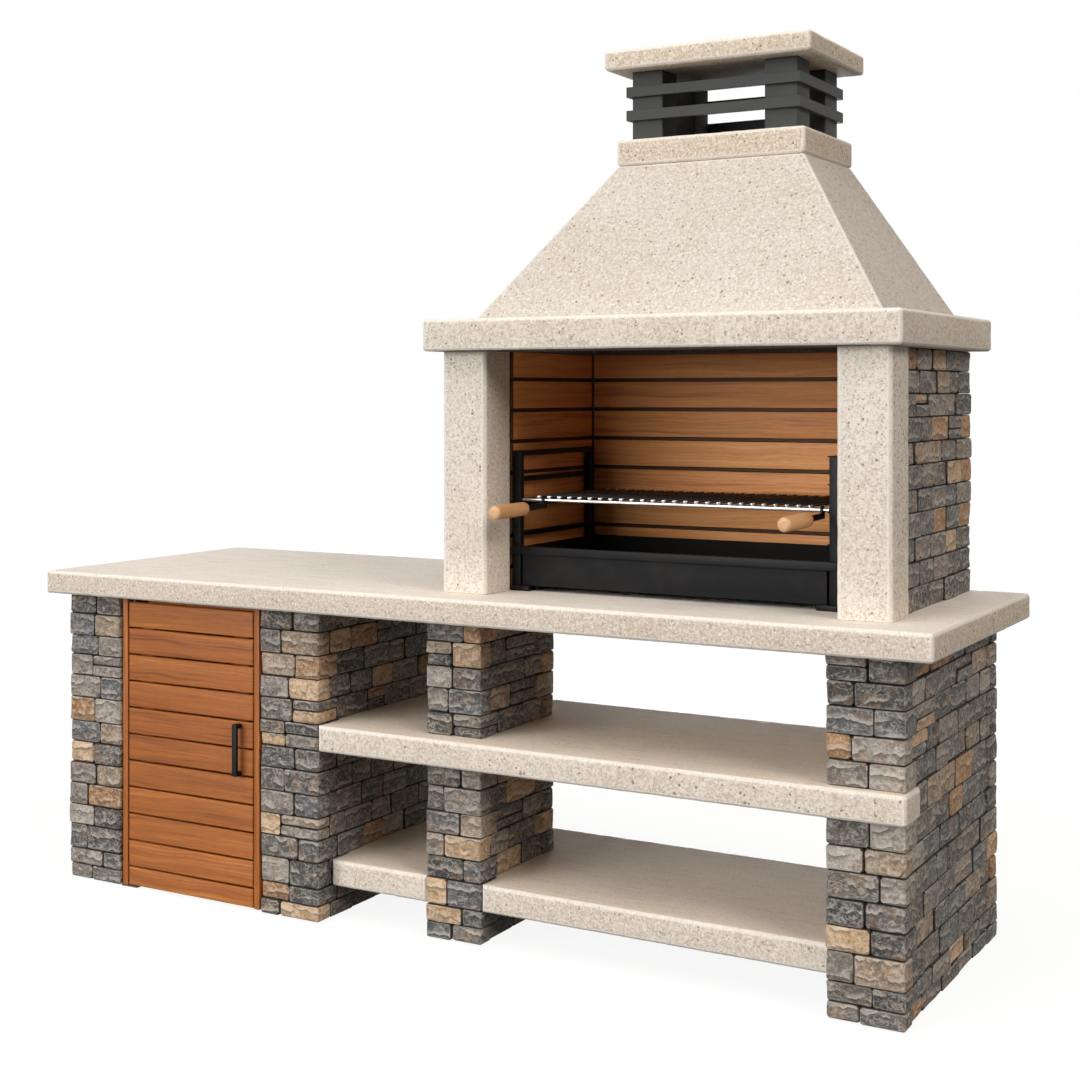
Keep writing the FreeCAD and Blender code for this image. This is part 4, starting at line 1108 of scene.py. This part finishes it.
def rod_tree(material):
    tree, graph = new_tree("grill_rods", {
        "Start": "Geometry", "Count": "Int", "Pitch": "Float", "Length": "Float", "Radius": "Float",
        "First": "Vector", "Front bar": "Vector", "Back bar": "Vector", "Bead": "Float",
    })
    given = graph.node("NodeGroupInput")

    def row(first):
        offset = graph.vector(given["Pitch"], 0.0, 0.0)
        ends = {"Count": given["Count"], "Start Location": first, "Offset": offset}
        return graph.node("GeometryNodeMeshLine", {"mode": "OFFSET"}, ends)["Mesh"]

    def changed(mesh, **change):
        return graph.node("GeometryNodeTransform", {}, {"Geometry": mesh, **change})["Geometry"]

    rod = graph.node("GeometryNodeMeshCylinder", {"fill_type": "TRIANGLE_FAN"}, {
        "Vertices": ROD_SIDES, "Side Segments": 1, "Radius": given["Radius"], "Depth": given["Length"],
    })["Mesh"]
    laid = changed(rod, Rotation=(math.pi / 2, 0, 0))
    rods = graph.node("GeometryNodeInstanceOnPoints", {}, {"Points": row(given["First"]), "Instance": laid})
    ball = graph.node("GeometryNodeMeshUVSphere", {}, {"Segments": 8, "Rings": 5, "Radius": given["Bead"]})
    bead = changed(ball["Mesh"], Scale=BEAD_SHAPE)
    joined = graph.node("GeometryNodeJoinGeometry")
    graph.tree.links.new(rods["Instances"].socket, joined.node.inputs[0])
    for bar in ("Front bar", "Back bar"):
        welds = graph.node("GeometryNodeInstanceOnPoints", {}, {"Points": row(given[bar]), "Instance": bead})
        graph.tree.links.new(welds["Instances"].socket, joined.node.inputs[0])
    smooth = graph.node("GeometryNodeSetShadeSmooth", {}, {0: joined["Geometry"]})[0]
    close_tree(graph, smooth, material)
    print("rod tree with", len(tree.nodes), "nodes")
    return tree


# %% Rods in place
ROD_COUNT = 26
ROD_PITCH = 0.03
ROD_RADIUS = 0.003
WELD_BEAD = 0.004
low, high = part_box("grill_rods")
frame_low, frame_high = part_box("grill_frame")
bar_radius = (frame_high.z - frame_low.z) / 2
rod_z = low.z + ROD_RADIUS
rods = grown("grill_rods", bpy.data.meshes.new("rod_start"), rod_tree(fired), {
    "Count": ROD_COUNT, "Pitch": ROD_PITCH, "Length": high.y - low.y, "Radius": ROD_RADIUS,
    "First": (low.x + ROD_RADIUS, (low.y + high.y) / 2, rod_z),
    "Front bar": (low.x + ROD_RADIUS, frame_low.y + bar_radius, low.z),
    "Back bar": (low.x + ROD_RADIUS, frame_high.y - bar_radius, low.z),
    "Bead": WELD_BEAD,
})
piece_of_mesh(rods, "grill_rods_round", fired, "grill", ["grill_rods"])
print("rods", len(rods.polygons), "faces")

# %% [markdown]
# ## Turned grips
# Each handle ends in a turned beech barrel with eased ends. The outline is drawn once and spun about
# the strap's line. The grain runs along the barrel, and the end shows rings.

# %% Beech
BEECH = paint(226, 178, 128)
BEECH_RING = paint(190, 128, 78)
BEECH_PORE = paint(150, 96, 56)
RING_SCALE = 1900.0
BEECH_DEPTH = 0.0003


def beech(centre_x, centre_z):
    def surface(graph):
        x, y, z = (graph.place() - (centre_x, 0.0, centre_z)).xyz()
        heart = graph.vector(x + 0.02, 0.0, z - 0.05)
        off = graph.node("ShaderNodeVectorMath", {"operation": "LENGTH"}, {0: heart})["Value"]
        waver = graph.noise(graph.vector(x, y * 0.15, z), 40.0, 2.0) * 0.006
        rings = graph.math("SINE", (off + waver) * RING_SCALE)
        streak = graph.noise(graph.vector(x * 240, y * 9, z * 240), 1.0, 3.0, 0.6)
        pores = graph.noise(graph.vector(x * 900, y * 60, z * 900), 1.0, 1.0).rise(0.6, 0.72)
        colour = graph.blend(rings.rise(-0.6, 1.0) * 0.4 + streak * 0.35, BEECH, BEECH_RING)
        colour = graph.blend(pores * 0.4, colour, BEECH_PORE)
        return {
            "Base Color": colour,
            "Roughness": 0.38 + (streak - 0.5) * 0.2,
            "Coat Weight": 0.25,
            "Normal": graph.bump(streak - pores * 0.6, BEECH_DEPTH, 0.5),
        }
    return surface


print("beech ready")

# %% Turned grips
GRIP_WAIST = 0.965
GRIP_SWELL = 0.035
GRIP_FLAT = 0.35
GRIP_EASE = 0.42
GRIP_RIM = 0.004
GRIP_SEAM = 1e-6
GRIP_TURNS = 40
END_STEPS = 5
BELLY_STEPS = 8


def grip_outline(radius, length):
    """The barrel's outline as (radius, distance from the tip): flat end, round, slight belly, and back."""
    ease = radius * GRIP_EASE
    end = [(0.0, 0.0), (radius * GRIP_FLAT * GRIP_WAIST, 0.0)]
    for k in range(END_STEPS):
        angle = math.pi / 2 * k / END_STEPS
        end.append(((radius - ease + ease * math.sin(angle)) * GRIP_WAIST, ease - ease * math.cos(angle)))
    belly = []
    for k in range(BELLY_STEPS + 1):
        swell = GRIP_WAIST + GRIP_SWELL * math.sin(math.pi * k / BELLY_STEPS)
        belly.append((radius * swell, ease + (length - 2 * ease) * k / BELLY_STEPS))
    return end + belly + [(r, length - d) for r, d in reversed(end)]


def turned_grip(node):
    points = [v.co for v in frame["nodes"][node].data.vertices]
    low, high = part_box(node)
    ends = []
    for limit in (low.y, high.y):
        rim = [p for p in points if abs(p.y - limit) < GRIP_RIM]
        centre = sum(rim, Vector()) / len(rim)
        ends.append(Vector((centre.x, limit, centre.z)))
    tip, root = ends
    axis = (root - tip).normalized()
    across = axis.cross(Vector((0, 0, 1))).normalized()
    form = bmesh.new()
    outline = grip_outline((high.x - low.x) / 2, (root - tip).length)
    verts = [form.verts.new(tip + axis * d + across * r) for r, d in outline]
    edges = [form.edges.new(pair) for pair in zip(verts, verts[1:])]
    bmesh.ops.spin(
        form, geom=verts + edges, cent=tip, axis=axis, angle=2 * math.pi, steps=GRIP_TURNS, use_merge=True,
    )
    bmesh.ops.remove_doubles(form, verts=form.verts, dist=GRIP_SEAM)
    bmesh.ops.recalc_face_normals(form, faces=form.faces)
    for face in form.faces:
        face.smooth = True
    middle = (tip + root) / 2
    wood = finish(node + "_beech", beech(middle.x, middle.z))
    mesh = mesh_from(form, node)
    piece_of_mesh(mesh, node + "_turned", wood, "grill", [node])
    print(mesh.name, len(mesh.polygons), "faces")


for node in ("left_grip", "right_grip"):
    turned_grip(node)
